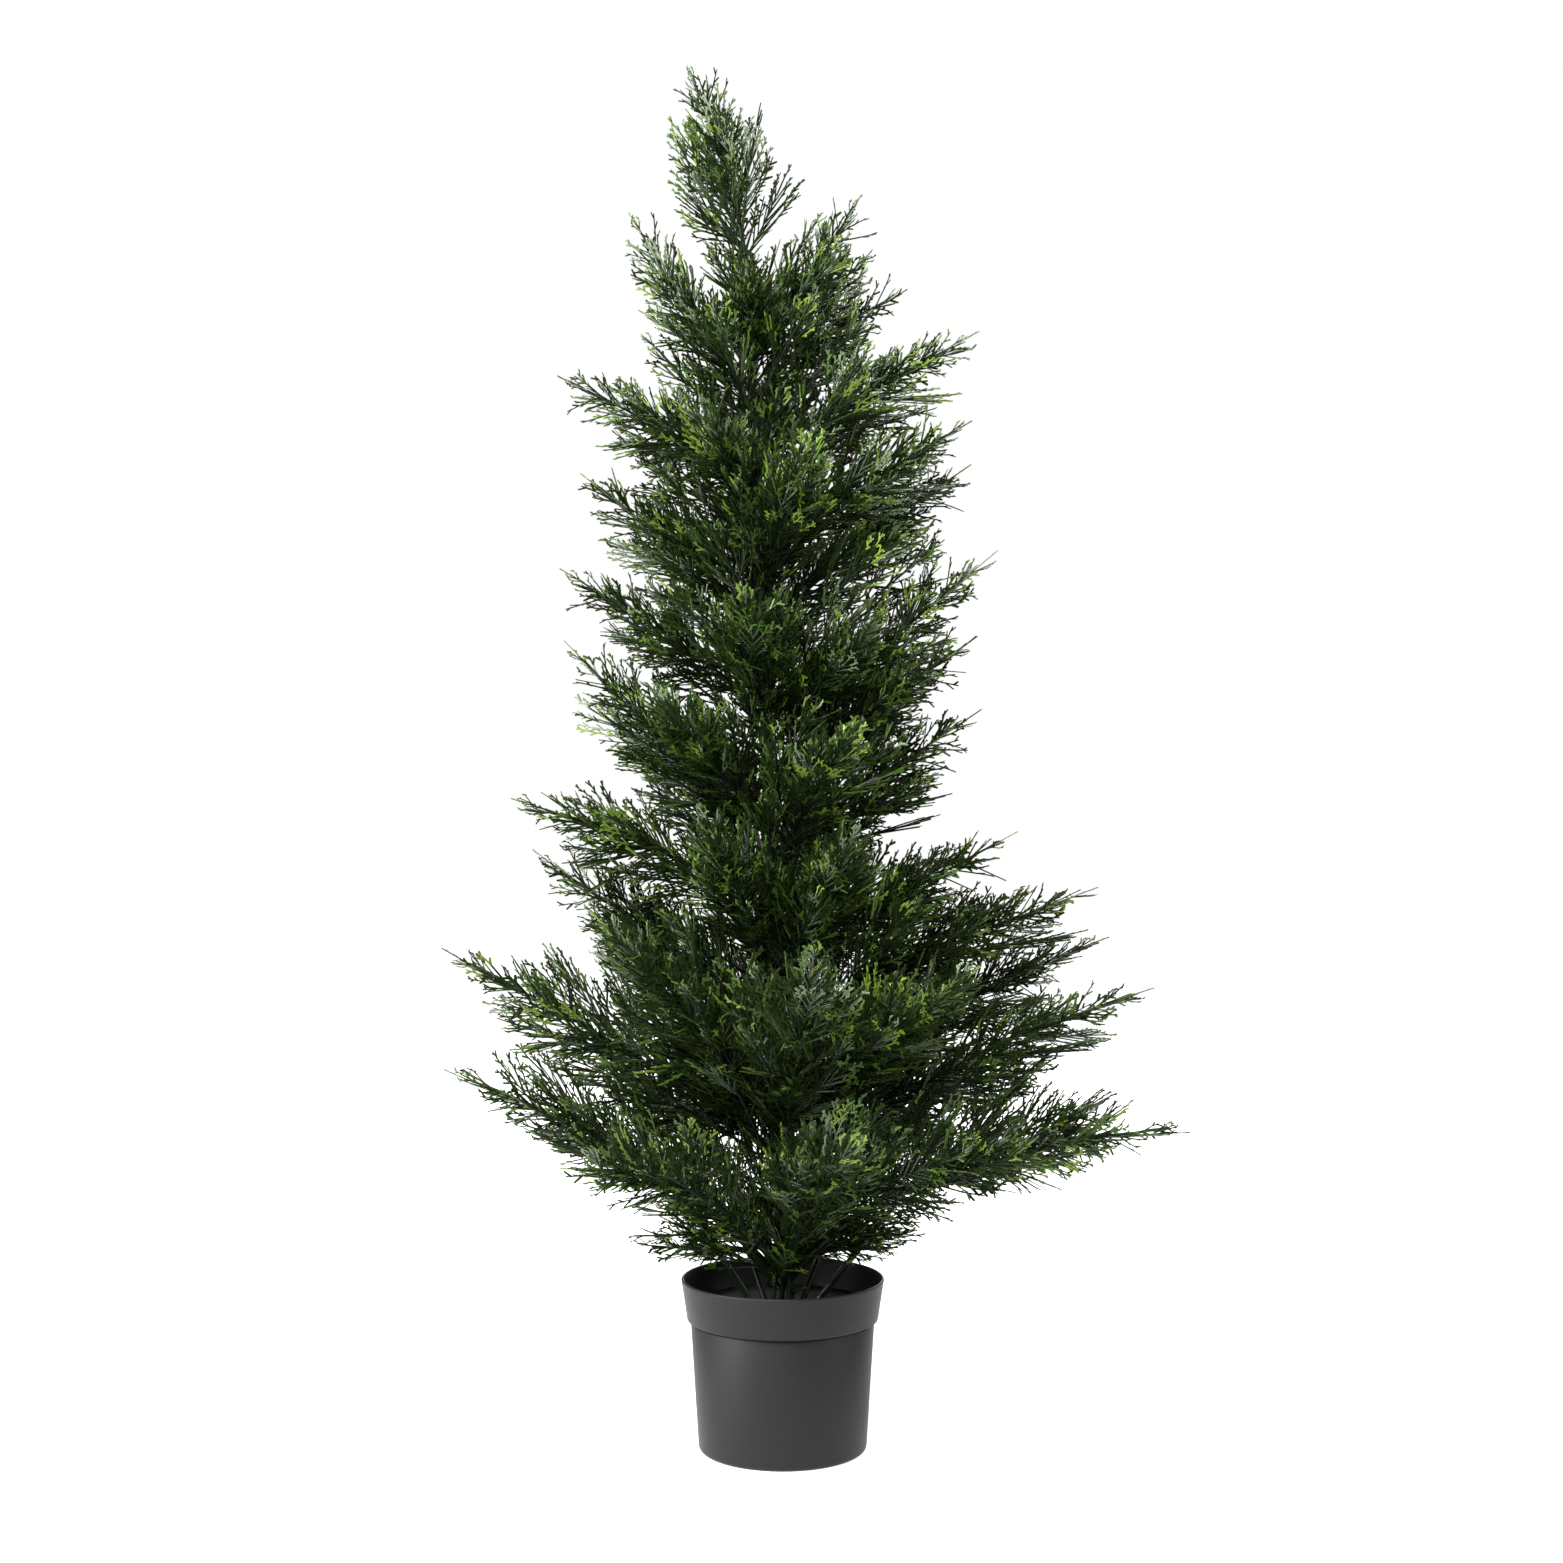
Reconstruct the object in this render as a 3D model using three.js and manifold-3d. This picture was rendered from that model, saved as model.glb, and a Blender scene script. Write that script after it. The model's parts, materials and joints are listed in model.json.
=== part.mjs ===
// An artificial cedar in a plastic pot: a moulded pot with a plug of filling, a thin plastic-sheathed trunk,
// boughs that fan out of the pot, and a crown of feathery plumes set round the trunk in tiers.
// Millimetres, +Z up. The origin is the middle of the pot's flat underside, and -Y is the front.
import * as THREE from "three";
import { mergeVertices } from "three/addons/utils/BufferGeometryUtils.js";
import Module from "manifold-3d";

const wasm = await Module();
wasm.setup();

// Driving dimensions of the pot and its filling
const POT = {
  height: 160,
  rimRadius: 95,
  bandTopRadius: 93,
  bandFootRadius: 89.3,
  bandHeight: 38,
  shoulderRadius: 85.8,
  shoulderDrop: 5.5,
  baseRadius: 78.7,
  baseCorner: 5,
  wall: 2,
  floor: 4,
  lip: 1.5,
  sides: 32,
};
const FILL = { top: 133, crown: 3, clearance: 0.3 };

// Driving dimensions of the trunk
const TRUNK = {
  foot: FILL.top + FILL.crown + 0.3,
  tip: 1085,
  flareRadius: 11,
  radius: 8.2,
  tipRadius: 3.4,
  flareHeight: 45,
  lean: 33,
  leanPower: 1.35,
  sides: 9,
  rings: 12,
};

// Gap kept between a limb and what carries it, and between one plume and the next
const SEAT_GAP = 0.3;
const PLUME_GAP = 0.6;

// Boughs and plume stems: radii at the foot and at the tip, and where along the reach they bend
const BOUGH = { footRadius: 4.6, tipRadius: 3.6, sides: 6, rings: 5, bendShare: 0.3 };
const STEM = { footRadius: 3.6, tipRadius: 1.8, sides: 4, rings: 6, end: 0.86 };
// The dense heart of a plume round its stem: its share of the plume's half width, where along the plume it
// starts to swell and where it has closed again, and its share of the room to the next plume
const CORE = { share: 0.38, swell: 0.34, close: 0.9, room: 0.42 };

// Sprays: how they stand on a plume's stem
const SPRAY = {
  seed: 2600,
  pitch: 38,
  fewest: 5,
  most: 6,
  first: 0.14,
  last: 0.74,
  footAngle: 50,
  tipAngle: 26,
  angleSpread: 5,
  twistSpread: 25,
  goldenAngle: 137.5,
  tipOverrun: 1.02,
  terminalFoot: 0.7,
  terminalSlim: 0.55,
  shortest: 34,
  cut: 0.8,
  rootSink: 2.4,
};
// A spray's blade: shares of its length, with a forward tooth on each side
const BLADE = { halfWidth: 0.34, thickness: 0.036, ridge: 0.4, tooth: 0.6, notch: 0.68, notchReach: 0.46 };

// The crown's tiers, from the pot upwards. Each bough's row: bearing in degrees (0 right, 90 back, 180 left,
// 270 front), reach of its tip from the trunk, height of its foot on the trunk, and height of its tip.
// climb is the angle above level at which the tier's boughs leave the trunk, width the plume's half width,
// and bare the share of each bough, next to the trunk, that carries no sprays.
const TIERS = [
  {
    tier: "skirt",
    width: 66,
    climb: 53,
    bare: 0.27,
    limbs: true,
    boughs: {
      left: [184, 315, 152, 356],
      front_left: [230, 285, 160, 298],
      front: [281, 295, 148, 318],
      front_right: [321, 308, 172, 294],
      right: [354, 376, 150, 302],
      back_right: [48, 310, 150, 335],
      back_left: [128, 305, 162, 340],
    },
  },
  {
    tier: "lower",
    width: 64,
    climb: 42,
    bare: 0.16,
    boughs: {
      left: [177, 321, 268, 466],
      front_left: [232, 253, 300, 513],
      front: [276, 292, 258, 500],
      front_right: [311, 266, 286, 468],
      right: [2, 351, 256, 430],
      right_back: [19, 340, 300, 471],
      back: [88, 295, 270, 500],
      back_left: [135, 285, 292, 505],
    },
  },
  {
    tier: "middle",
    width: 58,
    climb: 38,
    bare: 0.14,
    boughs: {
      left: [182, 245, 500, 608],
      left_back: [164, 248, 392, 558],
      front_left: [252, 200, 440, 605],
      front_right: [290, 213, 424, 587],
      right: [8, 308, 376, 523],
      right_front: [351, 227, 440, 578],
      back: [75, 245, 410, 600],
    },
  },
  {
    tier: "waist",
    width: 56,
    climb: 46,
    bare: 0.13,
    boughs: {
      left: [181, 194, 556, 756],
      front_left: [233, 187, 575, 704],
      front: [292, 205, 530, 680],
      right: [358, 196, 540, 691],
      back_right: [50, 200, 575, 730],
      back_left: [122, 200, 520, 705],
    },
  },
  {
    tier: "shoulder",
    width: 56,
    climb: 43,
    bare: 0.13,
    boughs: {
      left: [178, 194, 690, 824],
      front_left: [263, 171, 670, 795],
      front_right: [306, 186, 650, 775],
      right: [1, 216, 655, 840],
      right_front: [344, 199, 612, 756],
      back: [90, 190, 672, 840],
    },
  },
  {
    tier: "upper",
    width: 56,
    climb: 42,
    bare: 0.12,
    boughs: {
      left: [182, 170, 772, 912],
      front: [284, 165, 790, 930],
      right: [6, 198, 775, 923],
      right_front: [347, 201, 828, 954],
      back: [102, 172, 800, 940],
    },
  },
  {
    tier: "high",
    width: 52,
    climb: 32,
    bare: 0.12,
    boughs: {
      left: [180, 186, 905, 1004],
      right: [358, 209, 928, 1043],
      front: [250, 139, 860, 965],
      back: [82, 135, 915, 1045],
    },
  },
  {
    tier: "peak",
    width: 44,
    climb: 50,
    bare: 0.1,
    boughs: {
      left: [178, 117, 976, 1158],
      right: [6, 146, 984, 1087],
      right_front: [341, 110, 1022, 1164],
      front: [272, 89, 1002, 1100],
      back: [92, 92, 1012, 1140],
    },
  },
];
// The leader is the plume on the trunk's tip: it leans left and back to the tree's top
const LEADER = { width: 54, tip: new THREE.Vector3(-88, 6, 1292), rise: 0.5 };

// Plain colours of the moulded plastics
const MATERIALS = {
  pot: new THREE.MeshStandardMaterial({ color: 0x4b4b4a, roughness: 0.55, metalness: 0 }),
  fill: new THREE.MeshStandardMaterial({ color: 0x141414, roughness: 0.7, metalness: 0 }),
  limb: new THREE.MeshStandardMaterial({ color: 0x1d2e22, roughness: 0.45, metalness: 0 }),
  foliage: new THREE.MeshStandardMaterial({ color: 0x27452c, roughness: 0.55, metalness: 0 }),
};

const UP = new THREE.Vector3(0, 0, 1);
const { degToRad, lerp, seededRandom, smoothstep } = THREE.MathUtils;

// A closed geometry as a solid that can be joined and cut.
function solidOf(geometry) {
  const bare = new THREE.BufferGeometry().setAttribute("position", geometry.getAttribute("position").clone());
  bare.setIndex(geometry.index);
  const merged = mergeVertices(bare, 1e-3);
  return new wasm.Manifold(
    new wasm.Mesh({
      numProp: 3,
      vertProperties: merged.getAttribute("position").array,
      triVerts: new Uint32Array(merged.index.array),
    }),
  );
}

// A solid as a named mesh of the scene graph.
function meshOf(name, solid, material) {
  const { vertProperties, triVerts } = solid.getMesh();
  const geometry = new THREE.BufferGeometry()
    .setAttribute("position", new THREE.BufferAttribute(vertProperties, 3))
    .setIndex(new THREE.BufferAttribute(triVerts, 1));
  geometry.computeVertexNormals();
  const mesh = new THREE.Mesh(geometry, material);
  mesh.name = name;
  return mesh;
}

// The trunk's middle line: upright at the foot, leaning left towards the tip.
class TrunkLine extends THREE.Curve {
  getPoint(share, target = new THREE.Vector3()) {
    return target.set(-TRUNK.lean * share ** TRUNK.leanPower, 0, lerp(TRUNK.foot, TRUNK.tip, share));
  }
}
const trunkLine = new TrunkLine();
const trunkShare = (height) => (height - TRUNK.foot) / (TRUNK.tip - TRUNK.foot);

function trunkRadius(share) {
  const flare = 1 - smoothstep(share * (TRUNK.tip - TRUNK.foot), 0, TRUNK.flareHeight);
  return lerp(TRUNK.radius, TRUNK.tipRadius, share) + flare * (TRUNK.flareRadius - TRUNK.radius);
}

// A tapering limb: a cylinder bent along a stretch of a curve, with a round section of the given radius.
function limbGeometry(curve, from, to, radiusAt, sides, rings) {
  const limb = new THREE.CylinderGeometry(1, 1, 1, sides, rings);
  const place = limb.getAttribute("position");
  const side = new THREE.Vector3();
  const front = new THREE.Vector3();
  for (let i = 0; i < place.count; i++) {
    const share = lerp(from, to, place.getY(i) + 0.5);
    const along = curve.getTangent(share);
    side.crossVectors(Math.abs(along.z) > 0.95 ? new THREE.Vector3(0, 1, 0) : UP, along).normalize();
    front.crossVectors(along, side);
    const radius = radiusAt(share);
    const point = curve
      .getPoint(share)
      .addScaledVector(side, -place.getX(i) * radius)
      .addScaledVector(front, place.getZ(i) * radius);
    place.setXYZ(i, point.x, point.y, point.z);
  }
  return limb;
}

// A lathed solid about the Z axis from a profile of [radius, height] that starts and ends on the axis.
function turned(profile, sides) {
  const points = profile.map(([radius, height]) => new THREE.Vector2(radius, height));
  return new THREE.LatheGeometry(points, sides).rotateX(Math.PI / 2);
}

// The pot: a thin-walled cup with a stepped band round its rim and a flat underside.
function potGeometry() {
  const bandFoot = POT.height - POT.bandHeight;
  const shoulder = bandFoot - POT.shoulderDrop;
  const corner = POT.baseCorner;
  const cornerMiddle = corner * (1 - Math.SQRT1_2);
  return turned(
    [
      [0, 0],
      [POT.baseRadius - corner, 0],
      [POT.baseRadius - cornerMiddle, cornerMiddle],
      [POT.baseRadius, corner],
      [POT.shoulderRadius, shoulder],
      [POT.bandFootRadius, bandFoot],
      [POT.bandTopRadius, POT.height - 4 * POT.lip],
      [POT.rimRadius, POT.height - 2 * POT.lip],
      [POT.rimRadius, POT.height - POT.lip],
      [POT.rimRadius - POT.lip, POT.height],
      [POT.rimRadius - 2 * POT.lip, POT.height],
      [POT.bandTopRadius - POT.wall, POT.height - 2 * POT.lip],
      [POT.bandFootRadius - POT.wall, bandFoot],
      [POT.shoulderRadius - POT.wall, shoulder],
      [POT.baseRadius - POT.wall, POT.floor],
      [0, POT.floor],
    ],
    POT.sides,
  );
}

// The filling: a plug that follows the pot's inner wall up to a slightly crowned top.
function fillGeometry() {
  const inset = POT.wall + FILL.clearance;
  const bandFoot = POT.height - POT.bandHeight;
  const shoulder = bandFoot - POT.shoulderDrop;
  const bandShare = (FILL.top - bandFoot) / POT.bandHeight;
  const topRadius = lerp(POT.bandFootRadius, POT.bandTopRadius, bandShare) - inset;
  return turned(
    [
      [0, POT.floor + FILL.clearance],
      [POT.baseRadius - inset, POT.floor + FILL.clearance],
      [POT.shoulderRadius - inset, shoulder],
      [POT.bandFootRadius - inset, bandFoot],
      [topRadius, FILL.top],
      [TRUNK.flareRadius * 2, FILL.top + FILL.crown],
      [0, FILL.top + FILL.crown],
    ],
    POT.sides,
  );
}

// The middle line of a bough, from the trunk's axis through one bend to the tip.
function boughLine([bearing, reach, foot, tip], climb) {
  const start = trunkLine.getPoint(trunkShare(foot));
  const out = new THREE.Vector3(Math.cos(degToRad(bearing)), Math.sin(degToRad(bearing)), 0);
  const bendReach = BOUGH.bendShare * reach;
  const bend = start.clone().addScaledVector(out, bendReach);
  bend.z += bendReach * Math.tan(degToRad(climb));
  const end = start.clone().addScaledVector(out, reach).setZ(tip);
  return new THREE.QuadraticBezierCurve3(start, bend, end);
}

// The leader's middle line carries on from the trunk's tip and bends over to the tree's top.
function leaderLine() {
  const along = trunkLine.getTangent(1);
  const start = trunkLine.getPoint(1).addScaledVector(along, SEAT_GAP);
  const bend = start.clone().addScaledVector(along, LEADER.rise * (LEADER.tip.z - start.z));
  return new THREE.QuadraticBezierCurve3(start, bend, LEADER.tip);
}

// How far sprays stand out from the stem, as a share of the plume's half width, along the plume.
const plumeProfile = (share) => Math.sqrt(Math.sin(Math.PI * (0.08 + 0.86 * share)));

// The seeded rule that sets sprays round a plume's stem: each has its place along the stem, its direction,
// the normal of its flat face, and its length.
function spraysOf(plume) {
  seededRandom(plume.seed);
  const jitter = () => seededRandom() * 2 - 1;
  const length = plume.line.getLength();
  const leafy = length * (1 - plume.bare);
  const count = Math.min(SPRAY.most, Math.max(SPRAY.fewest, Math.round(leafy / SPRAY.pitch)));
  const phase = seededRandom() * Math.PI * 2;
  const sprays = [];
  for (let k = 0; k < count; k++) {
    const share = lerp(SPRAY.first, SPRAY.last, (k + 0.5 + 0.3 * jitter()) / count);
    const angle = degToRad(lerp(SPRAY.footAngle, SPRAY.tipAngle, share) + SPRAY.angleSpread * jitter());
    const roll = phase + k * degToRad(SPRAY.goldenAngle);
    const twist = degToRad(SPRAY.twistSpread) * jitter();
    const onLine = lerp(plume.bare, 1, share);
    const along = plume.line.getTangent(onLine);
    const side = new THREE.Vector3().crossVectors(UP, along).normalize();
    const over = new THREE.Vector3().crossVectors(along, side);
    const out = side.multiplyScalar(Math.cos(roll)).addScaledVector(over, Math.sin(roll));
    const direction = along.clone().multiplyScalar(Math.cos(angle)).addScaledVector(out, Math.sin(angle));
    const across = new THREE.Vector3().crossVectors(along, out);
    const face = new THREE.Vector3().crossVectors(direction, across).applyAxisAngle(direction, twist);
    const sideways = (plume.width * plumeProfile(share)) / Math.sin(angle);
    const forward = ((SPRAY.tipOverrun - share) * leafy) / Math.cos(angle);
    sprays.push({ foot: plume.line.getPoint(onLine), direction, face, length: Math.min(sideways, forward) });
  }
  return sprays;
}

// The spray that carries on from the stem's end to the plume's tip.
function terminalSpray(plume) {
  const foot = plume.line.getPoint(lerp(plume.bare, 1, SPRAY.terminalFoot));
  const span = plume.line.getPoint(1).sub(foot);
  const direction = span.clone().normalize();
  const across = new THREE.Vector3().crossVectors(UP, direction).normalize();
  const face = new THREE.Vector3().crossVectors(direction, across);
  return { foot, direction, face, length: span.length(), slim: SPRAY.terminalSlim };
}

// A spray of scale leaves as one toothed blade, thickest on its ridge. Grown makes it larger all round.
function bladeSolid({ foot, direction, face, length, slim = 1 }, grown = 0) {
  const half = length * BLADE.halfWidth * slim;
  const edge = [
    [length * BLADE.tooth, half + grown],
    [length * BLADE.notch + grown, half * BLADE.notchReach + grown],
  ];
  const mirrored = edge.map(([along, out]) => [along, -out]).reverse();
  const outline = [[-SPRAY.rootSink, 0], ...edge, [length + grown, 0], ...mirrored];
  const rise = (length * BLADE.thickness) / 2 + grown;
  const local = outline.map(([along, out]) => [along, out, 0]);
  const over = local.push([length * BLADE.ridge, 0, rise]) - 1;
  const under = local.push([length * BLADE.ridge, 0, -rise]) - 1;
  const index = [];
  outline.forEach((_, i) => {
    const next = (i + 1) % outline.length;
    index.push(over, next, i, under, i, next);
  });
  const across = new THREE.Vector3().crossVectors(face, direction);
  const points = local.map(([along, out, up]) =>
    foot.clone().addScaledVector(direction, along).addScaledVector(across, out).addScaledVector(face, up),
  );
  return solidOf(new THREE.BufferGeometry().setFromPoints(points).setIndex(index));
}

// True where two solids share any space.
function touches(a, b) {
  const [boxA, boxB] = [a.boundingBox(), b.boundingBox()];
  const apart = [0, 1, 2].some((axis) => boxA.min[axis] > boxB.max[axis] || boxB.min[axis] > boxA.max[axis]);
  return !apart && !a.intersect(b).isEmpty();
}

// The plumes of every tier and the leader, each with its line and sizes.
function plumesOf() {
  const plumes = [];
  for (const { tier, width, climb, bare, limbs, boughs } of TIERS) {
    for (const [side, row] of Object.entries(boughs)) {
      const name = `${tier}_${side}`;
      plumes.push({ name, line: boughLine(row, climb), width, bare, limb: Boolean(limbs) });
    }
  }
  plumes.push({ name: "leader", line: leaderLine(), width: LEADER.width, bare: 0, limb: false });
  plumes.forEach((plume, i) => {
    plume.seed = SPRAY.seed + i;
  });
  return plumes;
}

// A point's distance from the nearest of a plume's sampled stem points.
const distanceTo = (plume, point) => Math.min(...plume.samples.map((sample) => sample.distanceTo(point)));

// The radius of a plume's stem, with the heart that swells round it as far as its neighbours leave room.
function stemRadius(plume, others, onLine) {
  const share = (onLine - plume.bare) / (1 - plume.bare);
  const slim = lerp(STEM.footRadius, STEM.tipRadius, onLine);
  if (share <= 0 || share >= CORE.close) return slim;
  const point = plume.line.getPoint(onLine);
  const swell = smoothstep(share, 0, CORE.swell) * Math.sin(Math.PI * Math.min(1, share / CORE.close)) ** 0.6;
  const toTrunk = point.distanceTo(trunkLine.getPoint(Math.min(1, trunkShare(point.z)))) - TRUNK.flareRadius;
  const room = CORE.room * Math.min(...others.map((other) => distanceTo(other, point)));
  return Math.max(slim, Math.min(CORE.share * plume.width * swell, room, toTrunk));
}

const SAMPLES = 40;
const trunkSolid = (gap) =>
  solidOf(limbGeometry(trunkLine, 0, 1, (share) => trunkRadius(share) + gap, TRUNK.sides, TRUNK.rings));
const trunk = trunkSolid(0);
const trunkClearance = trunkSolid(SEAT_GAP);

// A limb cut clear of the trunk that carries it, without the scraps on the trunk's far side.
function clearOfTrunk(geometry) {
  const pieces = solidOf(geometry).subtract(trunkClearance).decompose();
  return pieces.reduce((largest, piece) => (piece.volume() > largest.volume() ? piece : largest));
}

const plumes = plumesOf();
for (const plume of plumes) {
  plume.samples = plume.line.getPoints(SAMPLES);
}
for (const plume of plumes) {
  const others = plumes.filter((other) => other !== plume);
  const foot = plume.limb ? plume.bare + SEAT_GAP / plume.line.getLength() : 0;
  const end = lerp(plume.bare, 1, STEM.end);
  const radius = (onLine) => stemRadius(plume, others, onLine);
  const stem = limbGeometry(plume.line, foot, end, radius, STEM.sides, STEM.rings);
  plume.parts = [clearOfTrunk(stem), bladeSolid(terminalSpray(plume))];
  if (plume.limb) {
    const boughRadius = (share) => lerp(BOUGH.footRadius, BOUGH.tipRadius, share / plume.bare);
    const bough = limbGeometry(plume.line, 0, plume.bare, boughRadius, BOUGH.sides, BOUGH.rings);
    plume.bough = clearOfTrunk(bough);
  }
}

// Whether a spray keeps to its plume's own space, clear of the trunk, the boughs and the other plumes.
function fits(spray, plume, others) {
  const tip = spray.foot.clone().addScaledVector(spray.direction, spray.length);
  const own = distanceTo(plume, tip);
  if (others.some((other) => distanceTo(other, tip) < own)) return false;
  const room = bladeSolid(spray, PLUME_GAP);
  const hit = (part) => part && touches(room, part);
  return !hit(trunk) && !others.some((other) => hit(other.bough) || other.parts.some(hit));
}

// Sprays are set plume by plume: one that doesn't fit is shortened, and left out where it gets too short.
for (const plume of plumes) {
  const others = plumes.filter((other) => other !== plume);
  for (const spray of spraysOf(plume)) {
    while (spray.length > SPRAY.shortest && !fits(spray, plume, others)) {
      spray.length *= SPRAY.cut;
    }
    if (spray.length > SPRAY.shortest) plume.parts.push(bladeSolid(spray));
  }
}

const tree = new THREE.Group();
tree.name = "potted_cedar";
tree.add(meshOf("pot", solidOf(potGeometry()), MATERIALS.pot));
tree.add(meshOf("filling", solidOf(fillGeometry()), MATERIALS.fill));
tree.add(meshOf("trunk", trunk, MATERIALS.limb));
const crown = new THREE.Group();
for (const plume of plumes) {
  if (plume.bough) tree.add(meshOf(`bough_${plume.name}`, plume.bough, MATERIALS.limb));
  crown.add(meshOf(`plume_${plume.name}`, wasm.Manifold.union(plume.parts), MATERIALS.foliage));
}
tree.add(crown);

export default tree;
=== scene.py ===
"""Looks of an artificial cedar in a plastic pot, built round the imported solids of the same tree.

Metres, in the part's own frame: the origin is the middle of the pot's underside, +Z is up and -Y the front.
"""

import json
import logging
import math
from collections.abc import Callable, Iterator
from dataclasses import dataclass
from enum import Enum
from typing import ClassVar

import bpy
import numpy as np
from mathutils import Matrix, Vector

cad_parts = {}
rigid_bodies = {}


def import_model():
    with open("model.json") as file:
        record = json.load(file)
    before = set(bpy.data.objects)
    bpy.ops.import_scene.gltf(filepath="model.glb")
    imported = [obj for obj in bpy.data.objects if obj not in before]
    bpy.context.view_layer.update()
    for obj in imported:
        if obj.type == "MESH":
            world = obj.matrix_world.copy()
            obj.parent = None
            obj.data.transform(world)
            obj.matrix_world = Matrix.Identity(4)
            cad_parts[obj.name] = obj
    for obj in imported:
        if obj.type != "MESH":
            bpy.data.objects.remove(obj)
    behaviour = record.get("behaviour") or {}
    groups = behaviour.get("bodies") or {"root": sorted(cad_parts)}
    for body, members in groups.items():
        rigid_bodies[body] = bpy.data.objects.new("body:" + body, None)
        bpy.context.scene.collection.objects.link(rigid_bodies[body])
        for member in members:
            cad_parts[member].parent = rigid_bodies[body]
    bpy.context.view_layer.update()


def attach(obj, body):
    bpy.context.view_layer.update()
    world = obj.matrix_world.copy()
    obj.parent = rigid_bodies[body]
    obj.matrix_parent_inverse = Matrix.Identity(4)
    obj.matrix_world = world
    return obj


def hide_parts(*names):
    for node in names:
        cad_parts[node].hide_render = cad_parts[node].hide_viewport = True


LOG = logging.getLogger("cedar")
MM = 0.001
BODY = "root"
UP = np.array((0.0, 0.0, 1.0))
BACK = np.array((0.0, 1.0, 0.0))
TRIANGLE_ROOM = 190_000

Point = tuple[float, float, float]
Pairs = tuple[tuple[float, float], ...]
Shape = tuple[list[Point], list[tuple[int, ...]]]
TubePath = tuple[np.ndarray, np.ndarray]
Along = Callable[[float], np.ndarray]


def lerp(start: float, end: float, share: float) -> float:
    """Returns the value at a share of the way from start to end."""
    return start + (end - start) * share


def smooth_step(value: float, low: float, high: float) -> float:
    """Returns 0 below low, 1 above high and an eased value between them."""
    share = min(1.0, max(0.0, (value - low) / (high - low)))
    return share * share * (3 - 2 * share)


def unit(vector: np.ndarray) -> np.ndarray:
    """Returns the vector at length 1."""
    return vector / np.linalg.norm(vector)


def level_way(angle: float) -> np.ndarray:
    """Returns the level direction at an angle, in radians, from +X."""
    return np.array((math.cos(angle), math.sin(angle), 0.0))


def rolled(along: np.ndarray, roll: float, guide: np.ndarray = UP) -> np.ndarray:
    """Returns the direction square to a line, at a roll from the side that is square to the guide too."""
    side = unit(np.cross(guide, along))
    return math.cos(roll) * side + math.sin(roll) * np.cross(along, side)


class Draws:
    """The seeded run of numbers (mulberry32) that the part's source draws from."""

    MASK = 0xFFFFFFFF
    STEP = 0x6D2B79F5

    def __init__(self, seed: int) -> None:
        """Starts the run at a seed."""
        self._state = seed

    def share(self) -> float:
        """Returns the next number, from 0 up to 1."""
        self._state = (self._state + self.STEP) & self.MASK
        mixed = self._state
        mixed = ((mixed ^ (mixed >> 15)) * (mixed | 1)) & self.MASK
        mixed ^= (mixed + (mixed ^ (mixed >> 7)) * (mixed | 61)) & self.MASK
        return (mixed ^ (mixed >> 14)) / (self.MASK + 1)

    def jitter(self) -> float:
        """Returns the next number, from -1 up to 1."""
        return self.share() * 2 - 1


class SeedRun(Enum):
    """How far from a seed each kind of run starts, so that no two runs are the same."""

    SHOOTS = 3000
    STRANDS = 5000
    TAPER = 7000
    FOOT_TWIGS = 7500
    TWIGS = 8000
    TONES = 9000

    def draws(self, seed: int) -> Draws:
        """Returns the run of this kind for a seed."""
        return Draws(seed + self.value)


@dataclass(frozen=True)
class BentPath:
    """A smooth path from a start to an end that is drawn towards one bend.

    Attributes:
        MEASURED: How many points its length is measured over.
        bend: The point that draws it aside.
    """

    MEASURED: ClassVar[int] = 65

    start: np.ndarray
    bend: np.ndarray
    end: np.ndarray

    def point(self, share: float) -> np.ndarray:
        """Returns the point at a share of the path."""
        rest = 1 - share
        return rest * rest * self.start + 2 * rest * share * self.bend + share * share * self.end

    def tangent(self, share: float) -> np.ndarray:
        """Returns the direction at a share of the path."""
        return unit((1 - share) * (self.bend - self.start) + share * (self.end - self.bend))

    def length(self) -> float:
        """Returns the path's length."""
        points = np.array([self.point(share) for share in np.linspace(0, 1, self.MEASURED)])
        return float(np.linalg.norm(np.diff(points, axis=0), axis=1).sum())


class Tone(Enum):
    """The plastics that strands and tips are moulded in."""

    DEEP = "deep"
    PINE = "pine"
    BLUE = "blue"
    OLIVE = "olive"
    LEAF = "leaf"
    FRESH = "fresh"


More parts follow.
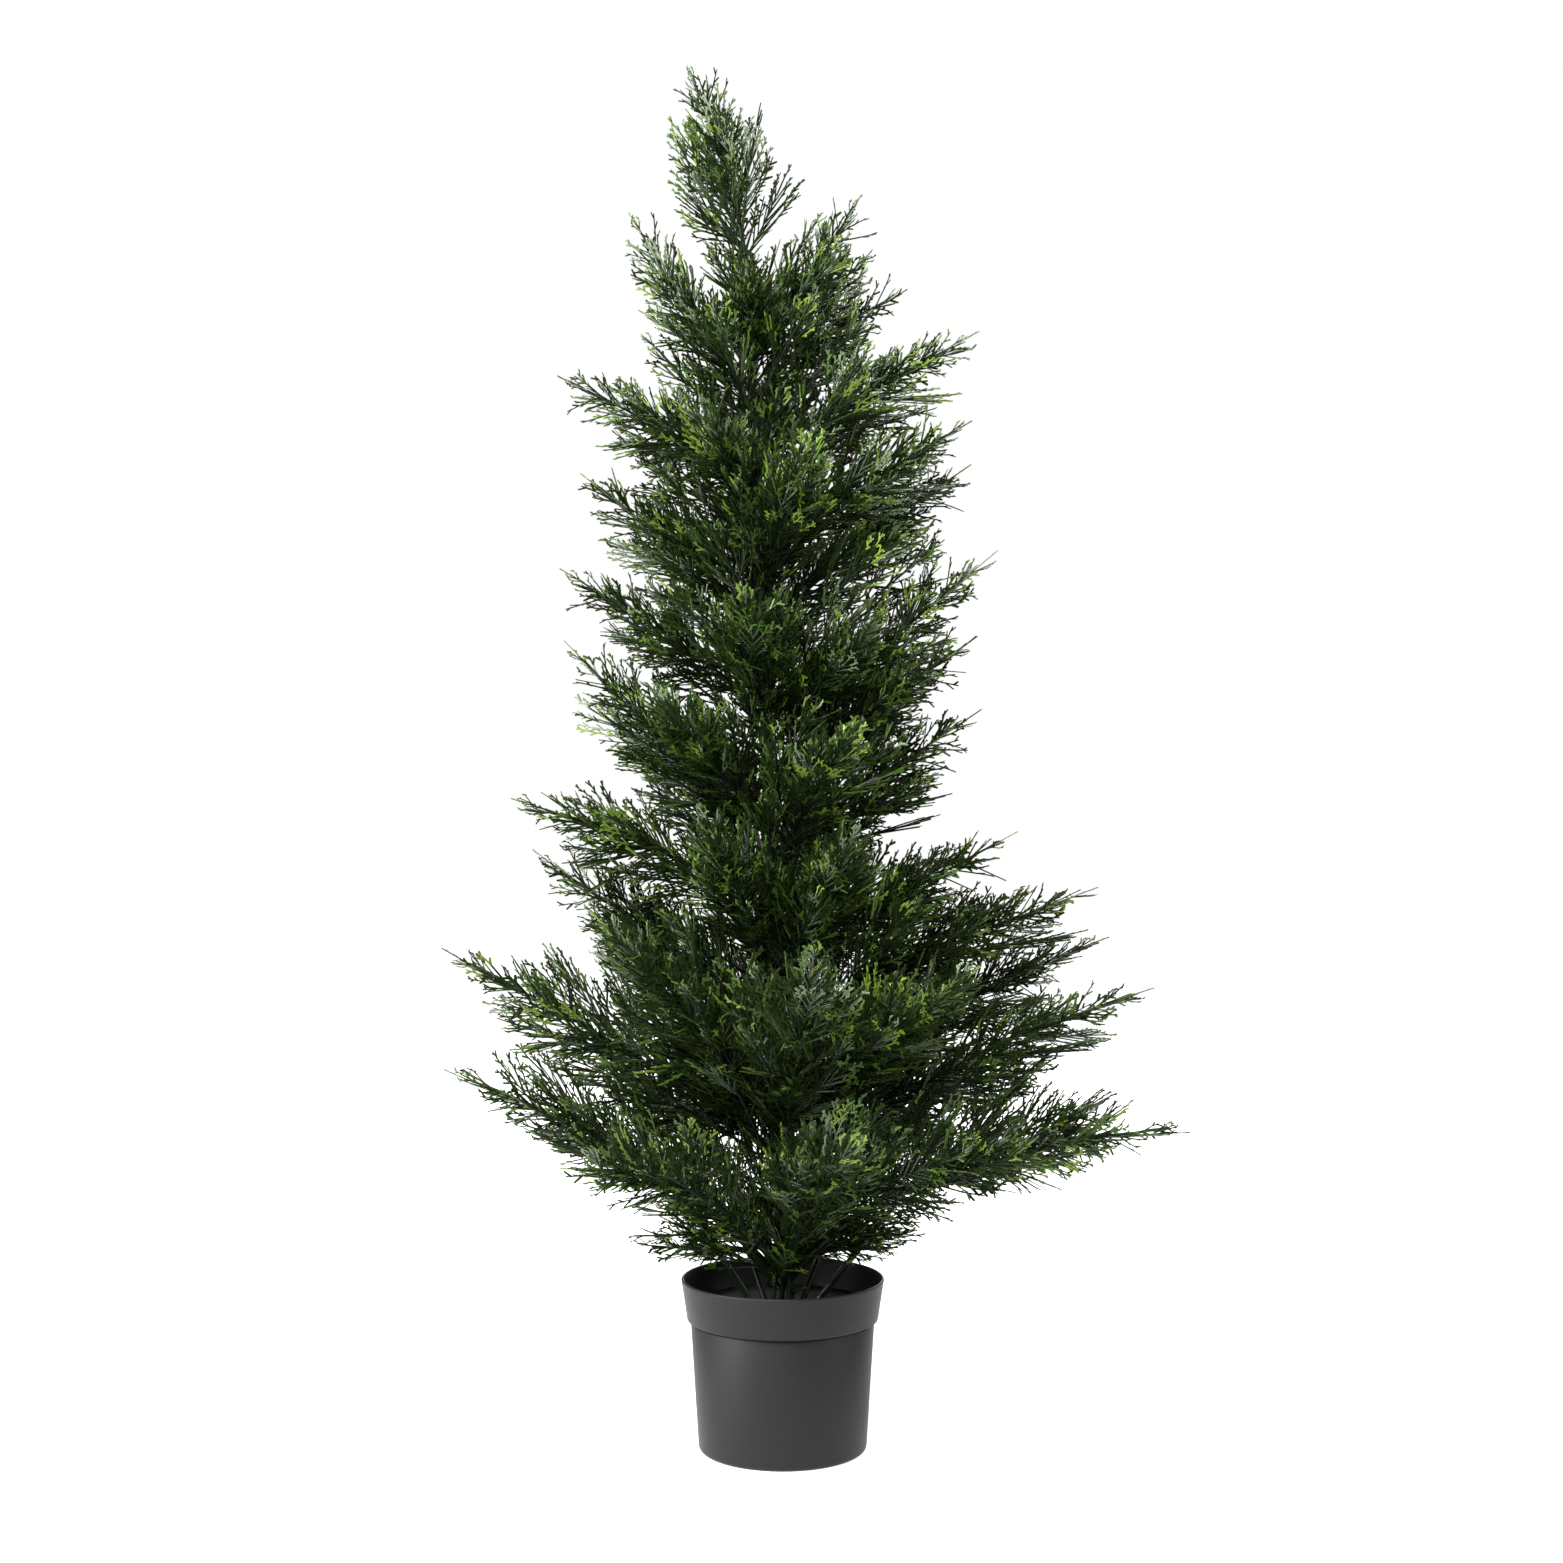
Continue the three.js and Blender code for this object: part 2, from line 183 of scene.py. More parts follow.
@dataclass(frozen=True)
class MouldedFinish:
    """A moulded plastic with a slow drift of its colour and a fine grain.

    Attributes:
        name: The material's name.
        colour: Base colour, linear.
        roughness: Middle roughness.
        drift: How far the colour goes lighter and darker over the surface.
        drift_scale: How many patches of that drift there are to a metre.
        grain_scale: How many grains there are to a metre.
        grain: Height of the grain's bump, in metres.
        specular: The shader's specular level.
    """

    name: str
    colour: tuple[float, float, float]
    roughness: float
    drift: float = 0.2
    drift_scale: float = 14.0
    grain_scale: float = 900.0
    grain: float = 0.0
    specular: float = 0.5

    def material(self, surface: "MouldedSurface") -> bpy.types.Material:
        """Builds the material.

        Args:
            surface: The shader group that the moulded plastics share.

        Returns:
            The material, with the group feeding its Principled shader.
        """
        material = bpy.data.materials.new(self.name)
        material.use_nodes = True
        nodes, links = material.node_tree.nodes, material.node_tree.links
        shader = nodes["Principled BSDF"]
        shader.inputs["Specular IOR Level"].default_value = self.specular
        group = nodes.new("ShaderNodeGroup")
        group.node_tree = surface.tree
        group.inputs["Colour"].default_value = (*self.colour, 1.0)
        group.inputs["Roughness"].default_value = self.roughness
        group.inputs["Drift"].default_value = self.drift
        group.inputs["Drift Scale"].default_value = self.drift_scale
        group.inputs["Grain Scale"].default_value = self.grain_scale
        links.new(group.outputs["Colour"], shader.inputs["Base Color"])
        links.new(group.outputs["Roughness"], shader.inputs["Roughness"])
        if self.grain:
            bump = nodes.new("ShaderNodeBump")
            bump.inputs["Distance"].default_value = self.grain
            links.new(group.outputs["Height"], bump.inputs["Height"])
            links.new(bump.outputs["Normal"], shader.inputs["Normal"])
        material.diffuse_color = (*self.colour, 1.0)
        return material


class MouldedSurface:
    """The shader group of a moulded surface: drifting colour, uneven gloss and a fine grain.

    Attributes:
        DETAIL: Detail of its noises.
        SWING: How far the drift's noise is stretched about its middle.
        DARKEST: Least share of the colour that the drift leaves.
        UNEVEN: Range of the roughness over the grain.
        tree: The group.
    """

    DETAIL = 2.0
    SWING = 4.0
    DARKEST = 0.2
    UNEVEN = 0.16

    def __init__(self) -> None:
        """Builds the group once."""
        self.tree = bpy.data.node_groups.new("moulded_surface", "ShaderNodeTree")
        self._sockets()
        self._wire()

    def _sockets(self) -> None:
        """Makes the group's named inputs and outputs."""
        sockets = self.tree.interface
        sockets.new_socket("Colour", in_out="INPUT", socket_type="NodeSocketColor")
        for name in ("Roughness", "Drift", "Drift Scale", "Grain Scale"):
            sockets.new_socket(name, in_out="INPUT", socket_type="NodeSocketFloat")
        sockets.new_socket("Colour", in_out="OUTPUT", socket_type="NodeSocketColor")
        for name in ("Roughness", "Height"):
            sockets.new_socket(name, in_out="OUTPUT", socket_type="NodeSocketFloat")

    def _math(self, operation: str, *values: object) -> bpy.types.NodeSocket:
        """Adds a math node.

        Args:
            operation: What the node does.
            *values: Numbers, or sockets to link, for its inputs in order.

        Returns:
            The node's output.
        """
        node = self.tree.nodes.new("ShaderNodeMath")
        node.operation = operation
        for place, value in enumerate(values):
            if isinstance(value, bpy.types.NodeSocket):
                self.tree.links.new(value, node.inputs[place])
            else:
                node.inputs[place].default_value = value
        return node.outputs[0]

    def _noise(self, where: bpy.types.NodeSocket, scale: bpy.types.NodeSocket) -> bpy.types.NodeSocket:
        """Adds a noise.

        Args:
            where: The place that it is read at.
            scale: Its patches to a metre.

        Returns:
            Its value, from 0 to 1.
        """
        noise = self.tree.nodes.new("ShaderNodeTexNoise")
        noise.inputs["Detail"].default_value = self.DETAIL
        self.tree.links.new(where, noise.inputs["Vector"])
        self.tree.links.new(scale, noise.inputs["Scale"])
        return noise.outputs["Fac"]

    def _wire(self) -> None:
        """Links the group's nodes."""
        nodes, links = self.tree.nodes, self.tree.links
        given = nodes.new("NodeGroupInput").outputs
        made = nodes.new("NodeGroupOutput").inputs
        where = nodes.new("ShaderNodeTexCoord").outputs["Object"]
        patch = self._noise(where, given["Drift Scale"])
        grain = self._noise(where, given["Grain Scale"])
        swing = self._math("MULTIPLY_ADD", patch, self.SWING, -self.SWING / 2)
        lighter = self._math("MULTIPLY_ADD", swing, given["Drift"], 1.0)
        tint = nodes.new("ShaderNodeVectorMath")
        tint.operation = "SCALE"
        links.new(given["Colour"], tint.inputs["Vector"])
        links.new(self._math("MAXIMUM", lighter, self.DARKEST), tint.inputs["Scale"])
        links.new(tint.outputs["Vector"], made["Colour"])
        uneven = self._math("MULTIPLY_ADD", grain, self.UNEVEN, -self.UNEVEN / 2)
        links.new(self._math("ADD", given["Roughness"], uneven), made["Roughness"])
        links.new(grain, made["Height"])


POT_FINISH = MouldedFinish("charcoal_pot", (0.0099, 0.0093, 0.0090), 0.46, 0.04, 9.0, 1500.0, 0.00012, 0.15)
FILLING_FINISH = MouldedFinish("dark_filling", (0.0045, 0.0045, 0.0045), 0.85, 0.3, 90.0, 500.0, 0.0006, 0.2)
SHEATH_FINISH = MouldedFinish("sheath_green", (0.005, 0.011, 0.005), 0.36, 0.3, 40.0, 1200.0, 0.0002, 0.25)
RIB_FINISH = MouldedFinish("rib_green", (0.009, 0.021, 0.005), 0.42, 0.3, 20.0, specular=0.2)
# Which plastic a strand or tip gets is dealt by ToneDeal: the deep ones mostly in the crown's core as painted
# shade, the light ones mostly on its outside as painted light.
STRAND_FINISHES = {
    Tone.DEEP: MouldedFinish("strand_deep", (0.0062, 0.0132, 0.0015), 0.48, 0.3, specular=0.08),
    Tone.PINE: MouldedFinish("strand_pine", (0.014, 0.031, 0.004), 0.32, 0.3, specular=0.35),
    Tone.BLUE: MouldedFinish("strand_blue", (0.042, 0.061, 0.033), 0.26, 0.25, specular=0.8),
    Tone.OLIVE: MouldedFinish("strand_olive", (0.026, 0.040, 0.007), 0.45, 0.3, specular=0.2),
}
TIP_FINISHES = {
    Tone.DEEP: MouldedFinish("tip_deep", (0.0095, 0.0200, 0.0022), 0.48, 0.25, specular=0.1),
    Tone.PINE: MouldedFinish("tip_pine", (0.038, 0.076, 0.009), 0.30, 0.25, specular=0.40),
    Tone.BLUE: MouldedFinish("tip_blue", (0.092, 0.127, 0.060), 0.27, 0.25, specular=0.8),
    Tone.LEAF: MouldedFinish("tip_leaf", (0.084, 0.134, 0.013), 0.32, 0.25, specular=0.35),
    Tone.FRESH: MouldedFinish("tip_fresh", (0.122, 0.190, 0.020), 0.40, 0.2, specular=0.3),
}


def finished(name: str, mesh: bpy.types.Mesh, nodes: list[str]) -> bpy.types.Object:
    """Makes a finished piece of a mesh and ties it to the frame.

    Args:
        name: The piece's name.
        mesh: Its mesh, in place.
        nodes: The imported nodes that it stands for.

    Returns:
        The piece.
    """
    piece = bpy.data.objects.new(name, mesh)
    bpy.context.scene.collection.objects.link(piece)
    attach(piece, BODY)
    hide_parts(*nodes)
    mesh.calc_loop_triangles()
    LOG.info("%s: %d triangles", name, len(mesh.loop_triangles))
    return piece


def mesh_of(name: str, shape: Shape, sharp: float | None = None) -> bpy.types.Mesh:
    """Makes a smooth-shaded mesh of points and faces.

    Args:
        name: The mesh's name.
        shape: Its points and its faces.
        sharp: The angle between two faces, in degrees, past which their edge stays sharp.

    Returns:
        The mesh.
    """
    mesh = bpy.data.meshes.new(name)
    mesh.from_pydata(shape[0], [], shape[1])
    mesh.shade_smooth()
    if sharp is not None:
        mesh.set_sharp_from_angle(angle=math.radians(sharp))
    mesh.update()
    return mesh


def skin(rings: np.ndarray) -> Shape:
    """Skins a stack of rings of points, closed at both ends.

    Args:
        rings: Points by ring and by place round the ring, anticlockwise seen from the last ring.

    Returns:
        The closed shape.
    """
    count, sides = rings.shape[:2]
    points = [tuple(point) for point in rings.reshape(-1, 3)]
    faces: list[tuple[int, ...]] = []
    for ring in range(count - 1):
        for side in range(sides):
            following = (side + 1) % sides
            low, high = ring * sides, (ring + 1) * sides
            faces.append((low + side, low + following, high + following, high + side))
    points.append(tuple(rings[0].mean(axis=0)))
    points.append(tuple(rings[-1].mean(axis=0)))
    foot, head = len(points) - 2, len(points) - 1
    last = (count - 1) * sides
    for side in range(sides):
        following = (side + 1) % sides
        faces.append((foot, following, side))
        faces.append((head, last + side, last + following))
    return points, faces


def joined(shapes: list[Shape]) -> Shape:
    """Joins shapes.

    Args:
        shapes: The shapes.

    Returns:
        All of them as one shape.
    """
    points: list[Point] = []
    faces: list[tuple[int, ...]] = []
    for more_points, more_faces in shapes:
        first = len(points)
        points.extend(more_points)
        faces.extend(tuple(first + place for place in face) for face in more_faces)
    return points, faces


def level_ring(radius: float, height: float, sides: int) -> list[Point]:
    """Returns the points of a level ring round the Z axis."""
    angles = np.linspace(0, 2 * math.pi, sides, endpoint=False)
    return [(radius * math.cos(angle), radius * math.sin(angle), height) for angle in angles]


class GrowthTree:
    """A geometry node tree with named inputs that ends in realized instances and a set material.

    Attributes:
        tree: The node tree.
        given: Its inputs as they are handed on to its nodes.
    """

    def __init__(self, name: str, inputs: dict[str, str]) -> None:
        """Starts the tree.

        Args:
            name: The tree's name.
            inputs: The kinds of its inputs by their names, the seed geometry first and without the finish.
        """
        self.tree = bpy.data.node_groups.new(name, "GeometryNodeTree")
        sockets = self.tree.interface
        self._keys = {
            label: sockets.new_socket(label, in_out="INPUT", socket_type=kind).identifier
            for label, kind in {**inputs, "Finish": "NodeSocketMaterial"}.items()
        }
        sockets.new_socket("Grown", in_out="OUTPUT", socket_type="NodeSocketGeometry")
        self.given = self.node("NodeGroupInput").outputs

    def node(self, kind: str) -> bpy.types.Node:
        """Adds a node of that kind."""
        return self.tree.nodes.new(kind)

    def link(self, source: bpy.types.NodeSocket, target: bpy.types.NodeSocket) -> None:
        """Links two sockets."""
        self.tree.links.new(source, target)

    def stored(self, name: str, data_type: str) -> bpy.types.NodeSocket:
        """Adds a node that reads a named attribute.

        Args:
            name: The attribute's name.
            data_type: Its type.

        Returns:
            Its values.
        """
        node = self.node("GeometryNodeInputNamedAttribute")
        node.data_type = data_type
        node.inputs["Name"].default_value = name
        return node.outputs["Attribute"]

    def end(self, geometry: bpy.types.NodeSocket) -> None:
        """Ends the tree.

        Args:
            geometry: What it has grown, which is realized and dressed.
        """
        realize = self.node("GeometryNodeRealizeInstances")
        dress = self.node("GeometryNodeSetMaterial")
        made = self.node("NodeGroupOutput").inputs
        self.link(geometry, realize.inputs["Geometry"])
        self.link(realize.outputs["Geometry"], dress.inputs["Geometry"])
        self.link(self.given["Finish"], dress.inputs["Material"])
        self.link(dress.outputs["Geometry"], made["Grown"])

    def grown(self, name: str, seed_mesh: bpy.types.Mesh, values: dict[str, object]) -> bpy.types.Mesh:
        """Runs the tree on a mesh.

        Args:
            name: The new mesh's name.
            seed_mesh: What the tree grows from. It is removed.
            values: The tree's inputs by their names.

        Returns:
            The result as a plain mesh.
        """
        carrier = bpy.data.objects.new(name + "_carrier", seed_mesh)
        bpy.context.scene.collection.objects.link(carrier)
        modifier = carrier.modifiers.new("grow", "NODES")
        modifier.node_group = self.tree
        for label, value in values.items():
            modifier[self._keys[label]] = value
        graph = bpy.context.evaluated_depsgraph_get()
        mesh = bpy.data.meshes.new_from_object(carrier.evaluated_get(graph), depsgraph=graph)
        mesh.name = name
        carrier.modifiers.remove(modifier)
        bpy.data.objects.remove(carrier)
        bpy.data.meshes.remove(seed_mesh)
        return mesh


class PathTubes(GrowthTree):
    """A geometry node tree that draws a tapering tube along each path of a wire mesh."""

    def __init__(self) -> None:
        """Builds the tree once."""
        super().__init__("path_tubes", {"Paths": "NodeSocketGeometry", "Sides": "NodeSocketInt"})
        girth = self.stored("girth", "FLOAT")
        curve = self.node("GeometryNodeMeshToCurve")
        radius = self.node("GeometryNodeSetCurveRadius")
        circle = self.node("GeometryNodeCurvePrimitiveCircle")
        circle.inputs["Radius"].default_value = 1.0
        tube = self.node("GeometryNodeCurveToMesh")
        tube.inputs["Fill Caps"].default_value = True
        self.link(self.given["Paths"], curve.inputs["Mesh"])
        self.link(curve.outputs["Curve"], radius.inputs["Curve"])
        self.link(girth, radius.inputs["Radius"])
        self.link(radius.outputs["Curve"], tube.inputs["Curve"])
        # Newer versions size the section by a socket, older ones by the curve's radius.
        if "Scale" in tube.inputs:
            self.link(girth, tube.inputs["Scale"])
        self.link(self.given["Sides"], circle.inputs["Resolution"])
        self.link(circle.outputs["Curve"], tube.inputs["Profile Curve"])
        self.end(tube.outputs["Mesh"])

    def mesh(
        self, name: str, paths: list[TubePath], sides: int, finish: bpy.types.Material
    ) -> bpy.types.Mesh:
        """Draws the tubes.

        Args:
            name: The mesh's name.
            paths: For each tube its points and its radius at each of them.
            sides: Sides of a tube's section.
            finish: The tubes' material.

        Returns:
            The tubes as one plain mesh.
        """
        points = np.concatenate([path for path, _ in paths])
        edges: list[tuple[int, int]] = []
        first = 0
        for path, _ in paths:
            edges.extend((first + i, first + i + 1) for i in range(len(path) - 1))
            first += len(path)
        wire = bpy.data.meshes.new(name + "_wire")
        wire.from_pydata(points.tolist(), edges, [])
        girth = wire.attributes.new("girth", "FLOAT", "POINT")
        girth.data.foreach_set("value", np.concatenate([radii for _, radii in paths]).astype(np.float32))
        mesh = self.grown(name, wire, {"Sides": sides, "Finish": finish})
        mesh.shade_smooth()
        return mesh


class StrandScatter(GrowthTree):
    """A geometry node tree that sets one of several moulded strands on each point, turned and sized."""

    def __init__(self) -> None:
        """Builds the tree once."""
        super().__init__("strand_scatter", {"Roots": "NodeSocketGeometry", "Kinds": "NodeSocketCollection"})
        kinds = self.node("GeometryNodeCollectionInfo")
        kinds.inputs["Separate Children"].default_value = True
        kinds.inputs["Reset Children"].default_value = True
        scatter = self.node("GeometryNodeInstanceOnPoints")
        scatter.inputs["Pick Instance"].default_value = True
        self.link(self.given["Roots"], scatter.inputs["Points"])
        self.link(self.given["Kinds"], kinds.inputs["Collection"])
        self.link(kinds.outputs["Instances"], scatter.inputs["Instance"])
        self.link(self.stored("kind", "INT"), scatter.inputs["Instance Index"])
        self.link(self.stored("turn", "QUATERNION"), scatter.inputs["Rotation"])
        self.link(self.stored("size", "FLOAT"), scatter.inputs["Scale"])
        self.end(scatter.outputs["Instances"])

    def mesh(
        self, name: str, strands: list["Strand"], kinds: bpy.types.Collection, finish: bpy.types.Material
    ) -> bpy.types.Mesh:
        """Sets the strands.

        Args:
            name: The mesh's name.
            strands: Where they stand, and how.
            kinds: The strands' meshes to pick from.
            finish: Their material.

        Returns:
            The strands as one plain mesh.
        """
        roots = bpy.data.meshes.new(name + "_roots")
        roots.from_pydata([tuple(strand.foot) for strand in strands], [], [])
        for attribute, data_type, values in (
            ("kind", "INT", [strand.kind for strand in strands]),
            ("turn", "QUATERNION", [part for strand in strands for part in strand.turn()]),
            ("size", "FLOAT", [strand.size for strand in strands]),
        ):
            stored = roots.attributes.new(attribute, data_type, "POINT")
            stored.data.foreach_set("value", values)
        return self.grown(name, roots, {"Kinds": kinds, "Finish": finish})


@dataclass
class Pot:
    """The thin-walled nursery pot with a stepped band under a rolled lip, in millimetres and degrees.

    Attributes:
        sharp_angle: Angle between two faces past which their edge stays sharp.
        middle_radius: Radius of the innermost ring of the underside and of the floor.
        base_loop: Width of the flat ring next to the base's rounded corner.
        corner_step: Angle between two rings of that corner.
        groove: Radius and height along the shallow groove under the band.
        band: The same up the band.
        lip: The same over the rolled lip.
        inside: The same down the inside to the floor.
        clear_zones: Radius of each zone of the mouth, from the middle out, and its least height of foliage.
        clear_outside: Least height of foliage outside them.
    """

    sides: int = 96
    sharp_angle: float = 42.0
    middle_radius: float = 40.0
    base_radius: float = 78.7
    base_corner: float = 5.0
    base_loop: float = 1.5
    corner_step: int = 15
    groove: Pairs = ((85.9, 119.3), (85.7, 119.6), (84.9, 119.8), (84.9, 121.2), (85.7, 121.4))
    band: Pairs = ((88.6, 121.7), (89.2, 122.1), (89.5, 123.0), (91.7, 138.0), (94.0, 153.0))
    lip: Pairs = (
        (94.8, 157.6), (94.9, 158.6), (94.6, 159.4), (94.0, 159.9),
        (93.4, 160.0), (92.8, 159.7), (92.5, 159.0),
    )
    inside: Pairs = ((91.5, 154.0), (87.4, 126.4), (83.6, 121.4), (83.5, 118.0), (76.9, 5.5), (75.4, 4.0))
    clear_zones: Pairs = ((36.0, 139.0), (78.0, 146.0))
    clear_outside: float = 170.0

    def outline(self) -> list[tuple[float, float]]:
        """Returns the profile as radius and height, from the underside's middle round to the floor's."""
        corner = self.base_corner
        turns = [math.radians(angle) for angle in range(0, 91, self.corner_step)]
        inner = self.base_radius - corner
        rounded = [(inner + corner * math.sin(turn), corner * (1 - math.cos(turn))) for turn in turns]
        underside = [(self.middle_radius, 0.0), (inner - self.base_loop, 0.0)]
        floor = (self.middle_radius, self.inside[-1][1])
        return [*underside, *rounded, *self.groove, *self.band, *self.lip, *self.inside, floor]

    def clears(self, point: np.ndarray) -> bool:
        """Returns whether a point of the foliage, in metres, keeps clear of the rim and the filling."""
        radius = math.hypot(point[0], point[1]) / MM
        heights = (height for zone, height in self.clear_zones if radius < zone)
        return point[2] > next(heights, self.clear_outside) * MM

    def build(self, finish: bpy.types.Material) -> bpy.types.Object:
        """Builds the shell.

        Args:
            finish: Its material.

        Returns:
            The piece.
        """
        rings = [level_ring(radius * MM, height * MM, self.sides) for radius, height in self.outline()]
        mesh = mesh_of("pot_shell", skin(np.array(rings)), sharp=self.sharp_angle)
        mesh.materials.append(finish)
        return finished("pot_shell", mesh, ["pot"])


@dataclass
class Filling:
    """The dark plug that holds the stems, with a lumpy top.

    Attributes:
        shoulder: Radius and height of the ring under the pot's step.
        foot: Height of its underside.
        innermost: Radius of the top's last ring, as a share of the top's.
        lump_spread: How far out the lumps lie, as a share of the top's radius.
        lump_radii: Their least and greatest radius.
        lump_height: Their greatest height.
        lump_lowest: Their least height, as a share of that.
    """

    top: float = 0.1335
    rim_radius: float = 0.0880
    shoulder: tuple[float, float] = (0.0835, 0.116)
    foot_radius: float = 0.0762
    foot: float = 0.0046
    sides: int = 72
    rings: int = 26
    innermost: float = 0.03
    lumps: int = 240
    lump_spread: float = 0.97
    lump_radii: tuple[float, float] = (0.004, 0.011)
    lump_height: float = 0.0032
    lump_lowest: float = 0.35
    seed: int = 71

    def _lumps(self) -> list[tuple[float, float, float, float]]:
        """Returns each lump's place, radius and height."""
        draws = Draws(self.seed)
        lumps = []
        for _ in range(self.lumps):
            reach = self.rim_radius * math.sqrt(draws.share()) * self.lump_spread
            turn = draws.share() * 2 * math.pi
            radius = lerp(*self.lump_radii, draws.share())
            height = self.lump_height * lerp(self.lump_lowest, 1, draws.share())
            lumps.append((reach * math.cos(turn), reach * math.sin(turn), radius, height))
        return lumps

    def _height(self, lumps: list[tuple[float, float, float, float]], x: float, y: float) -> float:
        """Works out the height of the top at a place.

        Args:
            lumps: The lumps.
            x: The place's X.
            y: The place's Y.

        Returns:
            The height.
        """
        rise = 0.0
        for lump_x, lump_y, radius, height in lumps:
            near = math.hypot(x - lump_x, y - lump_y) / radius
            if near < 1:
                rise = max(rise, height * (1 - near * near))
        return self.top + rise

    def build(self, finish: bpy.types.Material) -> bpy.types.Object:
        """Builds the plug.

        Args:
            finish: Its material.

        Returns:
            The piece.
        """
        lumps = self._lumps()
        rings = [level_ring(self.foot_radius, self.foot, self.sides), level_ring(*self.shoulder, self.sides)]
        for share in np.linspace(1, self.innermost, self.rings):
            level = level_ring(self.rim_radius * share, self.top, self.sides)
            rings.append([(x, y, self._height(lumps, x, y)) for x, y, _ in level])
        mesh = mesh_of("pot_filling", skin(np.array(rings)))
        mesh.materials.append(finish)
        return finished("pot_filling", mesh, ["filling"])


@dataclass(frozen=True)
class TrunkLine:
    """The trunk's middle line and thickness: upright at the foot, leaning left towards the tip.

    Attributes:
        foot: Height of the cut foot.
        tip: Height of the tip.
        flare_radius: Radius at the foot.
        radius: Radius above the flare.
        lean: How far the tip stands to the left.
        lean_power: How late the lean sets in.
        probe: Half of the share over which a direction is measured.
    """

    foot: float = 0.1363
    tip: float = 1.085
    flare_radius: float = 0.011
    radius: float = 0.0082
    tip_radius: float = 0.0034
    flare_height: float = 0.045
    lean: float = 0.033
    lean_power: float = 1.35
    probe: float = 1e-4

    def share(self, height: float) -> float:
        """Returns the share of the trunk at a height."""
        return (height - self.foot) / (self.tip - self.foot)

    def point(self, share: float) -> np.ndarray:
        """Returns the point at a share of the trunk."""
        lean = math.copysign(abs(share) ** self.lean_power, share)
        return np.array((-self.lean * lean, 0.0, lerp(self.foot, self.tip, share)))

    def tangent(self, share: float) -> np.ndarray:
        """Returns the direction at a share of the trunk."""
        return unit(self.point(share + self.probe) - self.point(share - self.probe))

    def length(self) -> float:
        """Returns the trunk's height."""
        return self.tip - self.foot

    def thickness(self, share: float) -> float:
        """Returns the radius at a share of the trunk."""
        flare = 1 - smooth_step(share * self.length(), 0, self.flare_height)
        return lerp(self.radius, self.tip_radius, share) + flare * (self.flare_radius - self.radius)


